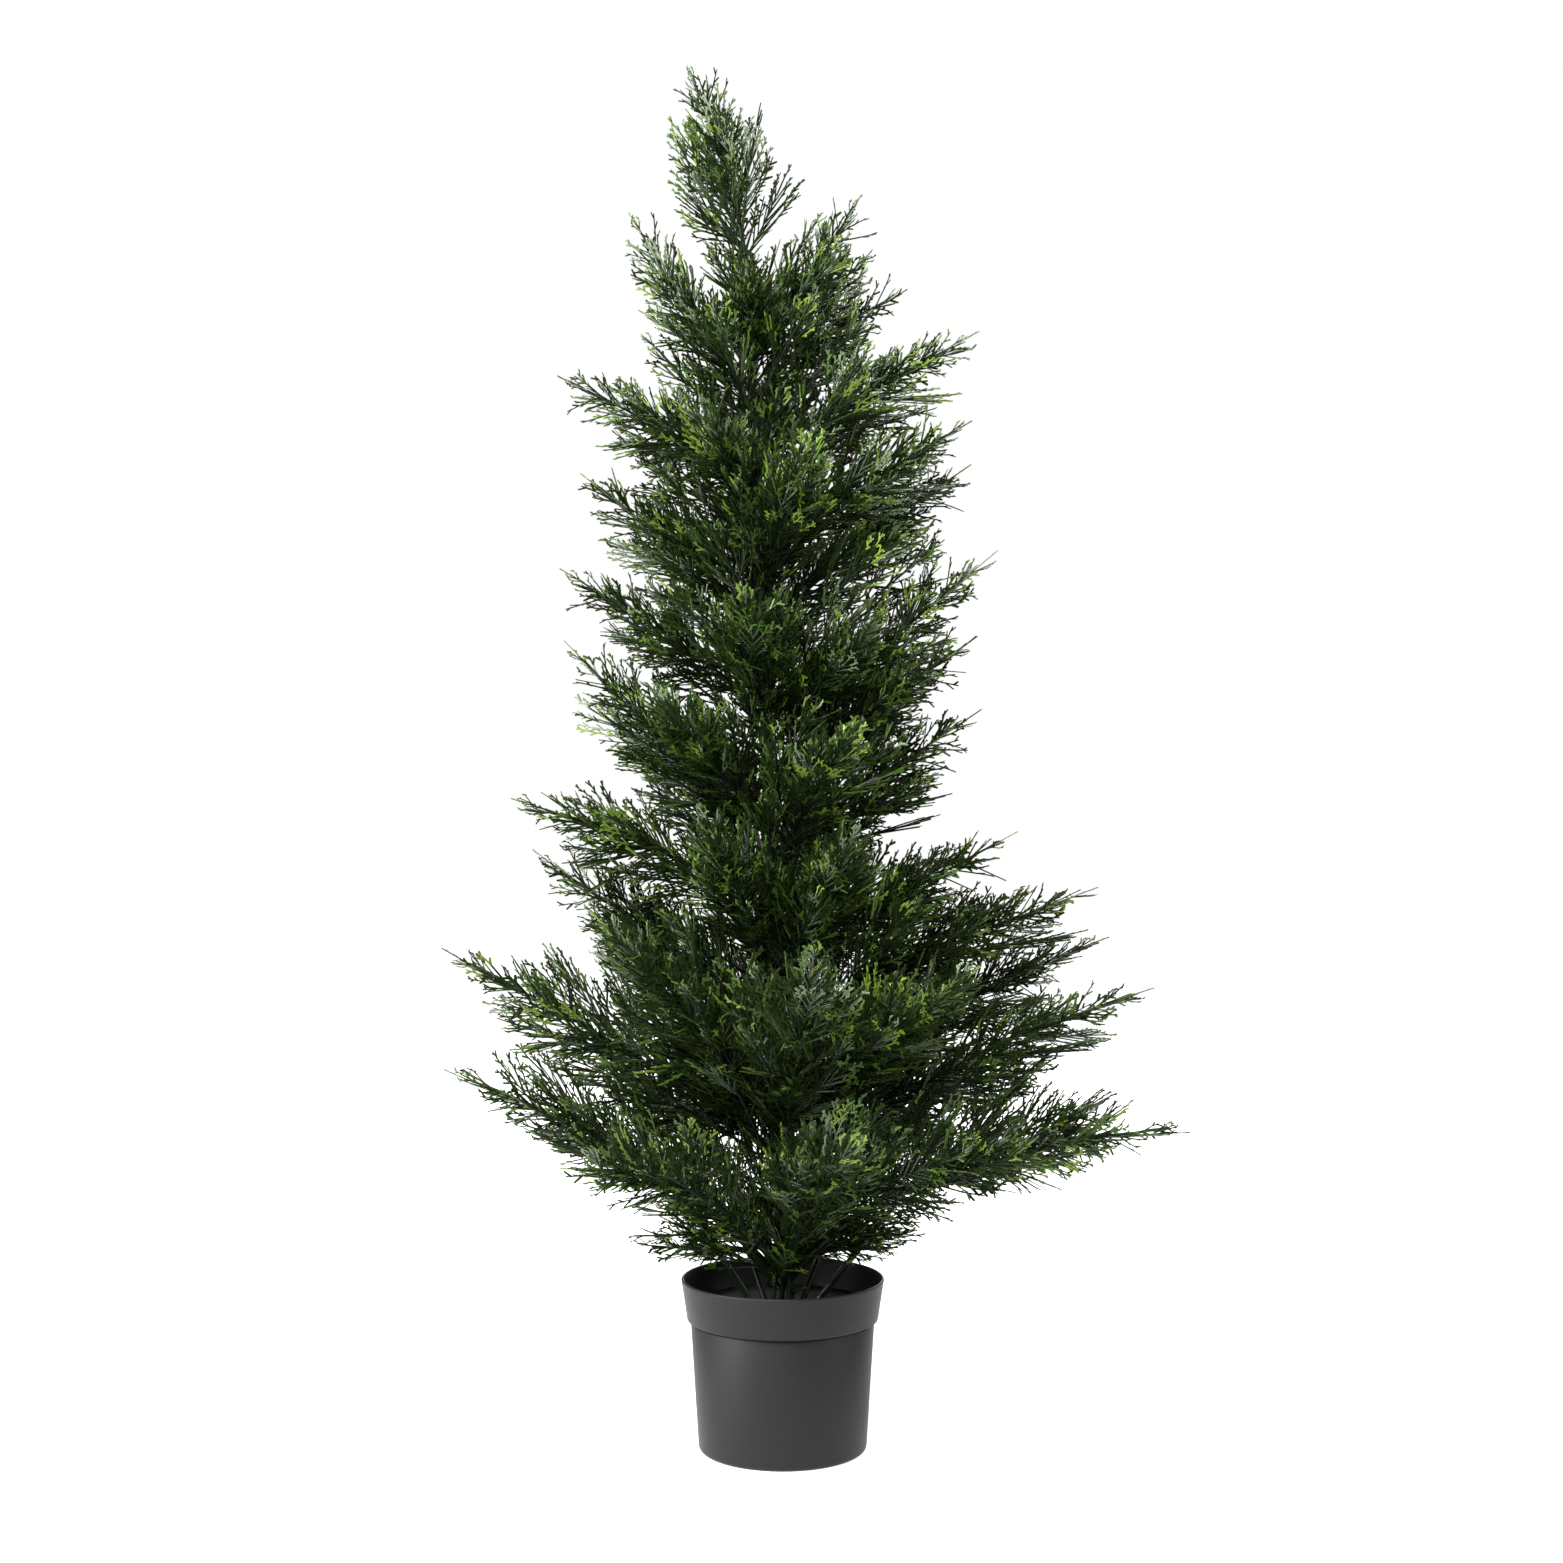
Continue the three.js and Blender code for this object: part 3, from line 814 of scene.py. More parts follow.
@dataclass
class Sheaths:
    """The plastic sheaths of the trunk and boughs: ridged limbs, the trunk's as a bundle of slim stems.

    Depths are shares of the limb's radius, the core's and wraps' sizes shares of the trunk's. Paces are
    radians along the limb. A grid is a limb's points round a ring and its rings. A phase turns its ridges.

    Attributes:
        sink: How far the feet go down into the filling.
        upright: Rise of a direction past which a limb counts as upright.
        ridges: How many ridges there are round a limb, and how many finer ones.
        wander: How far the ridges wander round the limb, in radians.
        wind: How far the wraps wind round the trunk, in radians.
        collar: How much thicker the trunk is where a stem leaves it.
        bough_overlap: Share of its plume's path over which a bough goes on among the sprays.
        root_circle: How far from the trunk's axis the slim stems beside it leave the filling.
        root_join: Share of a plume's path at which such a stem joins its bough.
    """

    line: TrunkLine
    sink: float = 0.006
    upright: float = 0.95
    ridges: tuple[int, int] = (5, 9)
    ridge_depth: float = 0.054
    fine_depth: float = 0.6
    wander: float = 5.0
    wander_pace: float = 2.3
    ripple_depth: float = 0.045
    ripple_paces: tuple[float, float] = (61.0, 23.0)
    ripple_turns: int = 3
    core: float = 0.62
    core_grid: tuple[int, int] = (12, 200)
    core_phase: float = 0.4
    wraps: int = 6
    wrap_offset: float = 0.68
    wrap_girth: float = 0.36
    wrap_grid: tuple[int, int] = (8, 120)
    wind: float = 9.0
    collar: float = 0.0016
    collar_spread: float = 0.007
    bough_overlap: float = 0.04
    bough_radii: tuple[float, float] = (0.0042, 0.0031)
    bough_grid: tuple[int, int] = (14, 40)
    bough_phase: float = 0.9
    root_circle: float = 0.024
    root_height: float = 0.128
    root_join: float = 0.42
    root_radii: tuple[float, float] = (0.0032, 0.0022)
    root_grid: tuple[int, int] = (10, 24)
    root_phase: float = 1.7

    def _relief(self, share: float, angle: float, phase: float) -> float:
        """Works out the relief of a limb, as a share of its radius.

        Args:
            share: The share of the limb.
            angle: The angle round it.
            phase: Turn of its ridges.

        Returns:
            How far the surface stands out there.
        """
        coarse, fine = self.ridges
        first_pace, second_pace = self.ripple_paces
        wander = self.wander * math.sin(self.wander_pace * share + phase)
        ridges = math.sin(coarse * angle + wander)
        ridges += self.fine_depth * math.sin(fine * angle - 2 * wander + phase)
        ripple = math.sin(first_pace * share + self.ripple_turns * angle + phase)
        ripple *= math.sin(second_pace * share - angle)
        return self.ridge_depth * ridges + self.ripple_depth * ripple

    def _tube(
        self, point: Along, tangent: Along, radius: Callable[[float], float], grid: tuple[int, int],
        phase: float
    ) -> Shape:
        """Skins one ridged limb.

        Args:
            point: The point at a share of the limb.
            tangent: The direction there.
            radius: The radius there.
            grid: Points round a ring, and rings along the limb.
            phase: Turn of its ridges, so that no two limbs match.

        Returns:
            The limb.
        """
        sides, rings = grid
        stack = []
        for share in np.linspace(0, 1, rings):
            along = tangent(share)
            guide = BACK if abs(along[2]) > self.upright else UP
            side = unit(np.cross(guide, along))
            front = np.cross(along, side)
            centre, girth = point(share), radius(share)
            ring = []
            for angle in np.linspace(0, 2 * math.pi, sides, endpoint=False):
                size = girth * (1 + self._relief(share, angle, phase))
                ring.append(centre + size * (math.cos(angle) * side + math.sin(angle) * front))
            stack.append(ring)
        return skin(np.array(stack))

    def _collars(self, heights: list[float], share: float) -> float:
        """Returns how much thicker the trunk is near the feet of stems."""
        height = self.line.point(share)[2]
        return sum(self.collar * math.exp(-(((height - foot) / self.collar_spread) ** 2)) for foot in heights)

    def trunk(self, feet: list[float], finish: bpy.types.Material) -> bpy.types.Object:
        """Builds the trunk's sheath.

        Args:
            feet: Heights at which stems leave the trunk.
            finish: Its material.

        Returns:
            The piece.
        """
        first = -self.sink / self.line.length()

        def placed(share: float) -> float:
            """Returns the trunk's share at a share of the sheath, which starts in the filling."""
            return lerp(first, 1, share)

        def core_radius(share: float) -> float:
            """Returns the radius of the middle stem, with its collars."""
            return self.core * self.line.thickness(placed(share)) + self._collars(feet, placed(share))

        def wrap(share: float, turn: float) -> np.ndarray:
            """Returns the middle of the slim stem that starts at that turn."""
            angle = turn + self.wind * share
            offset = self.wrap_offset * self.line.thickness(placed(share))
            return self.line.point(placed(share)) + offset * level_way(angle)

        shapes = [
            self._tube(
                lambda share: self.line.point(placed(share)),
                lambda share: self.line.tangent(placed(share)),
                core_radius,
                self.core_grid,
                self.core_phase,
            )
        ]
        for turn in np.linspace(0, 2 * math.pi, self.wraps, endpoint=False):
            shapes.append(
                self._tube(
                    lambda share, turn=turn: wrap(share, turn),
                    lambda share: self.line.tangent(placed(share)),
                    lambda share: self.wrap_girth * self.line.thickness(placed(share)),
                    self.wrap_grid,
                    turn,
                )
            )
        mesh = mesh_of("trunk_sheath", joined(shapes))
        mesh.materials.append(finish)
        return finished("trunk_sheath", mesh, ["trunk"])

    def _bough(self, plume: "Plume") -> Shape:
        """Makes the sheath of a bough.

        Args:
            plume: The plume that it carries.

        Returns:
            The sheath.
        """
        end = plume.bare + self.bough_overlap
        return self._tube(
            lambda share: plume.path.point(share * end),
            lambda share: plume.path.tangent(share * end),
            lambda share: lerp(*self.bough_radii, share),
            self.bough_grid,
            self.bough_phase * plume.seed,
        )

    def _root(self, plume: "Plume") -> Shape:
        """Makes a slim stem that comes out of the filling beside the trunk and joins a bough.

        Args:
            plume: The plume that the bough carries.

        Returns:
            The stem's sheath.
        """
        join = plume.path.point(self.root_join)
        out = unit(np.array((join[0], join[1], 0.0)))
        foot = self.root_circle * out + self.root_height * UP
        path = BentPath(foot, (foot + join) / 2, join)
        return self._tube(
            path.point,
            path.tangent,
            lambda share: lerp(*self.root_radii, share),
            self.root_grid,
            self.root_phase * plume.seed,
        )

    def boughs(self, limbs: list["Plume"], finish: bpy.types.Material) -> bpy.types.Object:
        """Builds the sheaths of the boughs that fan out of the pot, and of the slim stems that meet them.

        Args:
            limbs: The plumes that boughs carry.
            finish: The sheaths' material.

        Returns:
            The piece.
        """
        shapes = []
        for plume in limbs:
            shapes.append(self._bough(plume))
            if plume.hangs():
                shapes.append(self._root(plume))
        mesh = mesh_of("bough_sheaths", joined(shapes))
        mesh.materials.append(finish)
        return finished("bough_sheaths", mesh, ["bough_" + plume.name for plume in limbs])


@dataclass(frozen=True)
class Tier:
    """One tier of the crown, in millimetres and degrees.

    Attributes:
        name: The tier's name.
        width: Half width of its plumes.
        climb: Angle above level at which its boughs leave the trunk.
        bare: Share of each bough, next to the trunk, that carries no sprays.
        boughs: By side: bearing, reach of the tip, height of the foot and height of the tip.
        limbs: Whether boughs of their own carry its plumes.
    """

    name: str
    width: float
    climb: float
    bare: float
    boughs: dict[str, tuple[float, float, float, float]]
    limbs: bool = False


SKIRT = Tier("skirt", width=66, climb=53, bare=0.27, limbs=True, boughs={
    "left": (184, 315, 152, 356),
    "front_left": (230, 285, 160, 298),
    "front": (281, 295, 148, 318),
    "front_right": (321, 308, 172, 294),
    "right": (354, 376, 150, 302),
    "back_right": (48, 310, 150, 335),
    "back_left": (128, 305, 162, 340),
})
LOWER = Tier("lower", width=64, climb=42, bare=0.16, boughs={
    "left": (177, 321, 268, 466),
    "front_left": (232, 253, 300, 513),
    "front": (276, 292, 258, 500),
    "front_right": (311, 266, 286, 468),
    "right": (2, 351, 256, 430),
    "right_back": (19, 340, 300, 471),
    "back": (88, 295, 270, 500),
    "back_left": (135, 285, 292, 505),
})
MIDDLE = Tier("middle", width=58, climb=38, bare=0.14, boughs={
    "left": (182, 245, 500, 608),
    "left_back": (164, 248, 392, 558),
    "front_left": (252, 200, 440, 605),
    "front_right": (290, 213, 424, 587),
    "right": (8, 308, 376, 523),
    "right_front": (351, 227, 440, 578),
    "back": (75, 245, 410, 600),
})
WAIST = Tier("waist", width=56, climb=46, bare=0.13, boughs={
    "left": (181, 194, 556, 756),
    "front_left": (233, 187, 575, 704),
    "front": (292, 205, 530, 680),
    "right": (358, 196, 540, 691),
    "back_right": (50, 200, 575, 730),
    "back_left": (122, 200, 520, 705),
})
SHOULDER = Tier("shoulder", width=56, climb=43, bare=0.13, boughs={
    "left": (178, 194, 690, 824),
    "front_left": (263, 171, 670, 795),
    "front_right": (306, 186, 650, 775),
    "right": (1, 216, 655, 840),
    "right_front": (344, 199, 612, 756),
    "back": (90, 190, 672, 840),
})
UPPER = Tier("upper", width=56, climb=42, bare=0.12, boughs={
    "left": (182, 170, 772, 912),
    "front": (284, 165, 790, 930),
    "right": (6, 198, 775, 923),
    "right_front": (347, 201, 828, 954),
    "back": (102, 172, 800, 940),
})
HIGH = Tier("high", width=52, climb=32, bare=0.12, boughs={
    "left": (180, 186, 905, 1004),
    "right": (358, 209, 928, 1043),
    "front": (250, 139, 860, 965),
    "back": (82, 135, 915, 1045),
})
PEAK = Tier("peak", width=44, climb=50, bare=0.1, boughs={
    "left": (178, 117, 976, 1158),
    "right": (6, 146, 984, 1087),
    "right_front": (341, 110, 1022, 1164),
    "front": (272, 89, 1002, 1100),
    "back": (92, 92, 1012, 1140),
})
TIERS = (SKIRT, LOWER, MIDDLE, WAIST, SHOULDER, UPPER, HIGH, PEAK)


@dataclass(frozen=True)
class Leader:
    """The plume on the trunk's tip, which leans left and back to the tree's top.

    Attributes:
        width: Its half width, in millimetres.
        tip: Where its stem ends.
        rise: How far up its bend lies, as a share of its height.
        gap: Gap between its stem and the trunk's tip.
        taper: How sharply it narrows to its tip.
    """

    width: float = 68.0
    tip: Point = (-0.088, 0.006, 1.292)
    rise: float = 0.5
    gap: float = 0.0003
    taper: float = 1.1


@dataclass(frozen=True)
class Plume:
    """One plume: its stem's path and the room that its sprays fill.

    Attributes:
        FRONT: Slope to the front, against the reach aside, past which a bough stands before the pot's mouth.
        name: Tier and side, or what kind of finer twig it is.
        path: The stem's path.
        width: Half width, in metres.
        seed: Seed of its sprays.
        bare: Share of the path without sprays.
        under: Length of the sprays on its underside at its tip, as a share.
        over: Length of the sprays on its upper side, as a share.
        taper: How sharply it narrows to its tip.
        limb: Whether a bough of its own carries it.
    """

    FRONT: ClassVar[float] = 0.5

    name: str
    path: BentPath
    width: float
    seed: int
    bare: float = 0.0
    under: float = 1.0
    over: float = 1.0
    taper: float = 1.0
    limb: bool = False

    def hangs(self) -> bool:
        """Returns whether shoots hang from its bough, as they do beside and behind the pot's mouth."""
        tip = self.path.end
        return self.limb and tip[1] > -self.FRONT * abs(tip[0])


@dataclass(frozen=True)
class Spray:
    """One flat spray of a plume: a rib that strands stand on to both sides.

    Attributes:
        path: The rib's path.
        face: Normal of its flat side.
        length: Length from its foot to the tip of the strand on its end.
        rib: Length of its rib.
        slim: How narrow it is, 1 for a full spray.
        depth: 0 for a spray in the crown's core, 1 on its outside, by which its plastics get painted shade
            and painted light.
    """

    path: BentPath
    face: np.ndarray
    length: float
    rib: float
    slim: float
    depth: float


@dataclass
class Strand:
    """One moulded strand on a spray's rib.

    Attributes:
        face: Normal of its flat side.
        size: Its size against the moulded kind.
        kind: Which moulded kind it is.
        tone: The plastic of its inner stretch.
    """

    foot: np.ndarray
    along: np.ndarray
    face: np.ndarray
    size: float
    kind: int
    tone: Tone
    tip_tone: Tone

    def turn(self) -> tuple[float, float, float, float]:
        """Returns the turn from the moulded kind's own axes to this place."""
        aside = unit(np.cross(self.face, self.along))
        normal = np.cross(self.along, aside)
        return tuple(Matrix((self.along, aside, normal)).transposed().to_quaternion())


@dataclass(frozen=True)
class StrandKind:
    """A moulded strand: a thin stem with slim branchlets to both sides, shorter towards its tip.

    Its stem lies along X and its branchlets spread in X and Y. Girths are shares of the stem's at its foot,
    and places shares of its length.

    Attributes:
        reach: Length of the longest branchlet.
        girth: Radius of the stem at its foot.
        flatness: How much broader than thick the stem is.
        split: Where its tip starts.
        overlap: How far the inner stretch goes on into the tip.
        sink: How far the stem's foot stands in the rib.
        sweep: How far the stem's end bends forward.
        inner_ease: Length of a branchlet at the stem's foot.
        outer_ease: Where branchlets would shrink to nothing, and the stretch over which they do.
        root: How far a branchlet's foot stands in the stem.
        keel: Height of an outer branchlet's keel against its half width.
    """

    X_AXIS: ClassVar[np.ndarray] = np.array((1.0, 0.0, 0.0))
    CORNERS: ClassVar[tuple[float, ...]] = (90, 210, 330)

    length: float
    branchlets: int
    seed: int
    reach: float
    first: float = 0.50
    last: float = 0.98
    girth: float = 0.00095
    end_girth: float = 0.72
    flatness: float = 1.08
    split: float = 0.54
    overlap: float = 0.04
    sink: float = 0.001
    sweep: float = 0.12
    angle: float = 38.0
    angle_spread: float = 7.0
    place_spread: float = 0.25
    reach_spread: float = 0.25
    inner_ease: float = 0.7
    outer_ease: tuple[float, float] = (1.22, 0.42)
    root: float = 0.0004
    spike_girth: float = 0.88
    finger_girths: tuple[float, float] = (1.18, 0.90)
    keel: float = 0.7

    def _place(self, x: float, y: float, z: float) -> Point:
        """Returns a point on the strand swept forward along its length."""
        share = max(0.0, x / self.length)
        return x, y - self.sweep * self.length * share * share, z

    def _ring(self, centre: np.ndarray, along: np.ndarray, radius: float) -> list[Point]:
        """Sets three points round a line in the strand's plane.

        Args:
            centre: The point on the line.
            along: The line's direction.
            radius: Radius of the ring.

        Returns:
            The points.
        """
        across = np.array((-along[1], along[0], 0.0))
        turns = [math.radians(angle) for angle in self.CORNERS]
        broad = radius * self.flatness * across
        thick = radius / self.flatness * UP
        return [self._place(*(centre + math.cos(turn) * broad + math.sin(turn) * thick)) for turn in turns]

    def _stem(self, start: float, end: float) -> Shape:
        """Makes a stretch of the stem, blunt at its end.

        Args:
            start: Where it starts along the stem.
            end: Where it ends.

        Returns:
            The stretch.
        """
        points = self._ring(self.X_AXIS * start, self.X_AXIS, self._radius(start))
        points += self._ring(self.X_AXIS * end, self.X_AXIS, self._radius(end))
        return points, [(0, 1, 4, 3), (1, 2, 5, 4), (2, 0, 3, 5)]

    def _radius(self, x: float) -> float:
        """Returns the stem's radius at a place."""
        return self.girth * lerp(1, self.end_girth, max(0.0, x / self.length))

    def _spike(self, root: np.ndarray, along: np.ndarray, length: float) -> Shape:
        """Makes an inner branchlet as a slim spike.

        Args:
            root: Its foot, in the stem.
            along: Its direction.
            length: Its length.

        Returns:
            The branchlet.
        """
        points = self._ring(root, along, self.girth * self.spike_girth)
        points.append(self._place(*(root + along * length)))
        return points, [(0, 1, 3), (1, 2, 3), (2, 0, 3)]

    def _blade(self, centre: np.ndarray, along: np.ndarray, half: float) -> list[Point]:
        """Sets the two edges and the keel of a branchlet across its line.

        Args:
            centre: The point on its line.
            along: Its direction.
            half: Its half width there.

        Returns:
            One edge, the keel and the other edge.
        """
        across = np.array((-along[1], along[0], 0.0))
        keel = self.keel * half * UP
        return [self._place(*(centre + offset)) for offset in (half * across, keel, -half * across)]

    def _finger(self, root: np.ndarray, along: np.ndarray, length: float) -> Shape:
        """Makes a branchlet of the tip as a keeled blade with a blunt end.

        Args:
            root: Its foot, in the stem.
            along: Its direction.
            length: Its length.

        Returns:
            The branchlet.
        """
        foot_girth, end_girth = self.finger_girths
        points = self._blade(root, along, self.girth * foot_girth)
        points += self._blade(root + along * length, along, self.girth * end_girth)
        return points, [(0, 1, 4, 3), (1, 2, 5, 4)]

    def _branchlets(self) -> Iterator[tuple[float, Shape]]:
        """Yields each branchlet with its share of the stem."""
        draws = Draws(self.seed)
        vanish, shrink = self.outer_ease
        for place in range(self.branchlets):
            step = (place + 0.5 + self.place_spread * draws.jitter()) / self.branchlets
            share = lerp(self.first, self.last, step)
            side = 1.0 if (place + self.seed) % 2 else -1.0
            angle = math.radians(self.angle + self.angle_spread * draws.jitter())
            ease = min(1.0, self.inner_ease + share, (vanish - share) / shrink)
            length = self.reach * ease * (1 + self.reach_spread * draws.jitter())
            along = np.array((math.cos(angle), side * math.sin(angle), 0.0))
            root = share * self.length * self.X_AXIS - self.root * along
            shape = self._spike if share < self.split else self._finger
            yield share, shape(root, along, length)

    def shank(self) -> Shape:
        """Returns the inner stretch of the stem with its branchlets."""
        inner = [branchlet for share, branchlet in self._branchlets() if share < self.split]
        return joined([self._stem(-self.sink, self.length * (self.split + self.overlap)), *inner])

    def tip(self) -> Shape:
        """Returns the outer end of the stem with its branchlets."""
        outer = [branchlet for share, branchlet in self._branchlets() if share >= self.split]
        return joined([self._stem(self.length * self.split, self.length), *outer])


@dataclass(frozen=True)
class ToneRule:
    """Weights by which the plastics are dealt out.

    A pair goes from the crown's core to its outside, from its foot to its top, or with a plume's leaning.
    From core to outside, the deep plastic gives way to the light ones as painted shade and painted light.

    Attributes:
        inside: Share of a spray's length up to which tips are inner ones, dealt mostly the deep plastic as
            painted shade.
        front_painted_light: Weight of the light plastics on a plume to the front or back, at the crown's
            foot, as painted light.
        side_painted_light: The same on a plume to a side, kept low there as painted shade.
        painted_light_power: How late on the way up the crown that painted light and shade evens out.
        side_painted_shade: Weight of the deep plastic, as painted shade, on outer sprays where the light ones
            are fewer.
        blue_powers: Power on the draw of the blue plastic's share at the crown's foot and at its top, so that
            blue grows commoner up the crown, partly as the plant's own colour and partly as painted light.
        stray_tips: Weights of the outer tips' plastics that aren't the spray's own.
    """

    inside: float = 0.72
    front_painted_light: float = 1.6
    side_painted_light: float = 0.3
    painted_light_power: float = 1.5
    side_painted_shade: float = 0.9
    blue_powers: tuple[float, float] = (2.4, 0.4)
    fresh_power: float = 1.7
    fresh_rise: tuple[float, float] = (0.6, 1.1)
    shank_deep: tuple[float, float] = (1.8, 0.40)
    shank_pine: float = 0.36
    shank_blue: tuple[float, float] = (0.08, 1.1)
    shank_olive: tuple[float, float] = (0.22, 0.08)
    tip_deep: tuple[float, float] = (2.4, 0.04)
    tip_pine: float = 0.6
    blue_on_blue: float = 1.2
    blue_on_other: float = 0.22
    tip_leaf: tuple[float, float] = (0.22, 0.82)
    leaf_on_blue: float = 0.6
    tip_fresh: tuple[float, float] = (0.03, 1.0)
    fresh_on_olive: float = 1.5
    fresh_on_other: float = 0.8
    inner_dark: float = 0.40
    inner_dark_blue: float = 0.15
    inner_tips: tuple[tuple[Tone, float], ...] = ((Tone.DEEP, 0.84), (Tone.PINE, 0.16))
    stray_tips: tuple[tuple[Tone, float], ...] = ((Tone.PINE, 0.10), (Tone.DEEP, 0.14), (Tone.LEAF, 0.06))
    own_tips: float = 0.70


class ToneDeal:
    """Deals out plastics to the sprays of one plume and to their tips, with painted shade in the crown's core
    and painted light on its outside and on plumes to the front or back.

    Attributes:
        RULE: The weights.
        shank: The plastic of the spray's strands.
    """

    RULE = ToneRule()

    def __init__(self, draws: Draws, height: float, aside: float) -> None:
        """Settles the plume's own leaning: how much painted light and painted shade its sprays get, and its
        draws of blue and fresh plastic.

        Args:
            draws: The run of numbers to draw from.
            height: The plume's height in the crown, 0 at its foot and 1 at its top.
            aside: How far the plume points to a side, 0 to the front or back and 1 to the side.
        """
        rule = self.RULE
        self._draws = draws
        # Painted light and shade: light plastics weigh more on front and back plumes and less on side plumes
        # low in the crown, evening out towards the top; side plumes get the deep plastic instead.
        self._painted_light = lerp(lerp(rule.front_painted_light, rule.side_painted_light, aside), 1.0, height ** rule.painted_light_power)
        self._dark = rule.side_painted_shade * max(1 - self._painted_light, 0.0)
        # The blue plastic grows commoner up the crown, partly as its own colour and partly as painted light.
        self._blue = draws.share() ** lerp(*rule.blue_powers, height)
        self._fresh = draws.share() ** rule.fresh_power * lerp(*rule.fresh_rise, height)
        self.shank = Tone.DEEP
        self._main = Tone.DEEP

    def _pick(self, weights: dict[Tone, float]) -> Tone:
        """Draws one of several plastics.

        Args:
            weights: Their weights.

        Returns:
            The plastic.
        """
        left = self._draws.share() * sum(weights.values())
        for tone, weight in weights.items():
            left -= weight
            if left <= 0:
                return tone
        return tone

    def turn_to(self, spray: Spray | None) -> None:
        """Settles the plastics of the strands that follow.

        Args:
            spray: The spray that they stand on, or None for the heart round a stem, all in the deep plastic
                as painted shade.
        """
        if spray is None:
            self.shank = self._main = Tone.DEEP
            return
        rule = self.RULE
        # Painted shade and light: the deep plastic weighs more on sprays in the crown's core, the blue one
        # more on plumes that get painted light.
        self.shank = self._pick(
            {
                Tone.DEEP: lerp(*rule.shank_deep, spray.depth),
                Tone.PINE: rule.shank_pine,
                Tone.BLUE: lerp(*rule.shank_blue, self._blue) * self._painted_light,
                Tone.OLIVE: lerp(*rule.shank_olive, self._blue),
            }
        )
        blue = rule.blue_on_blue if self.shank is Tone.BLUE else rule.blue_on_other
        leaf = rule.leaf_on_blue if self.shank is Tone.BLUE else 1.0
        fresh = rule.fresh_on_olive if self.shank is Tone.OLIVE else rule.fresh_on_other
        # Painted light: light tips weigh more on outer sprays of plumes that get painted light; the deep one
        # weighs more in the core as painted shade.
        light = self._painted_light * spray.depth
        self._main = self._pick(
            {
                Tone.DEEP: lerp(*rule.tip_deep, spray.depth) + self._dark,
                Tone.PINE: rule.tip_pine,
                Tone.BLUE: blue * light,
                Tone.LEAF: lerp(*rule.tip_leaf, self._fresh) * leaf * light,
                Tone.FRESH: lerp(*rule.tip_fresh, self._fresh) * fresh * light,
            }
        )

    def inner(self) -> Tone:
        """Returns the plastic of the next strand's inner stretch."""
        dark = self.RULE.inner_dark_blue if self.shank is Tone.BLUE else self.RULE.inner_dark
        return self._pick({self.shank: 1 - dark, Tone.DEEP: dark})

    def tip(self, out: float) -> Tone:
        """Deals out the plastic of the next strand's tip, mostly the deep one on inner tips as painted shade.

        Args:
            out: How far out on its spray the tip is, 1 for the spray's end.

        Returns:
            The plastic.
        """
        if out < self.RULE.inside:
            return self._pick(dict(self.RULE.inner_tips))
        return self._pick(dict(self.RULE.stray_tips) | {self._main: self.RULE.own_tips})


@dataclass(frozen=True)
class BoughRule:
    """How the plumes of the tiers are shaped.

    A bough bends at a share of its reach. Sprays under the skirt and over the other tiers are shorter, by
    shares, and a little more so on the right. The tapers are the least and greatest narrowing to the tip.
    """

    bend: float = 0.3
    skirt_under: float = 0.64
    over: float = 0.86
    over_swing: float = 0.08
    bluntest: float = 0.7
    sharpest: float = 1.4


@dataclass(frozen=True)
class SprayRule:
    """How sprays are set round a stem, in metres and degrees.

    Spreads say how far a value varies, and shares are of a plume's leafy stretch or of a spray's own length.

    Attributes:
        bare_share: Share of a plume's bare stretch that sprays leave bare.
        lift: How far sprays that point to the front or back are lifted.
        swell: Where on a half wave a plume's half width starts, and how far along it goes.
        overrun: How far along the leafy stretch sprays reach.
        foot_under: Length on the underside at the plume's foot.
        under_run: Where along the leafy stretch the plume's own length on its underside is reached.
        under_zone: Rise of a spray's side over which it goes from the underside to the flanks.
        over_zone: The same from the flanks to the upper side.
        end_shortest: Least length of the strand on a spray's end.
        sweep: How far a rib turns towards the plume's tip.
        terminal_foot: Where the slim last spray starts.
        whip: Length of the strand on its end.
    """

    pitch: float = 0.0170
    leader_pitch: float = 0.0120
    shoot_pitch: float = 0.0205
    fewest: int = 8
    bare_share: float = 0.2
    first: float = 0.0
    last: float = 0.95
    place_spread: float = 0.3
    foot_angle: float = 45.0
    tip_angle: float = 22.0
    angle_spread: float = 8.0
    twist_spread: float = 22.0
    lift: float = 0.4
    swell: tuple[float, float] = (0.20, 0.73)
    overrun: float = 1.02
    length_spread: tuple[float, float] = (0.86, 1.14)
    foot_under: float = 1.1
    under_run: float = 0.5
    under_zone: tuple[float, float] = (-0.9, 0.1)
    over_zone: tuple[float, float] = (0.1, 0.9)
    long_share: float = 0.16
    long_reach: float = 1.2
    end_shortest: float = 0.024
    end_longest: float = 0.046
    least_rib: float = 0.45
    sweep: float = 0.32
    terminal_foot: float = 0.74
    terminal_slim: float = 0.5
    whip: float = 0.048
    whip_share: float = 0.5


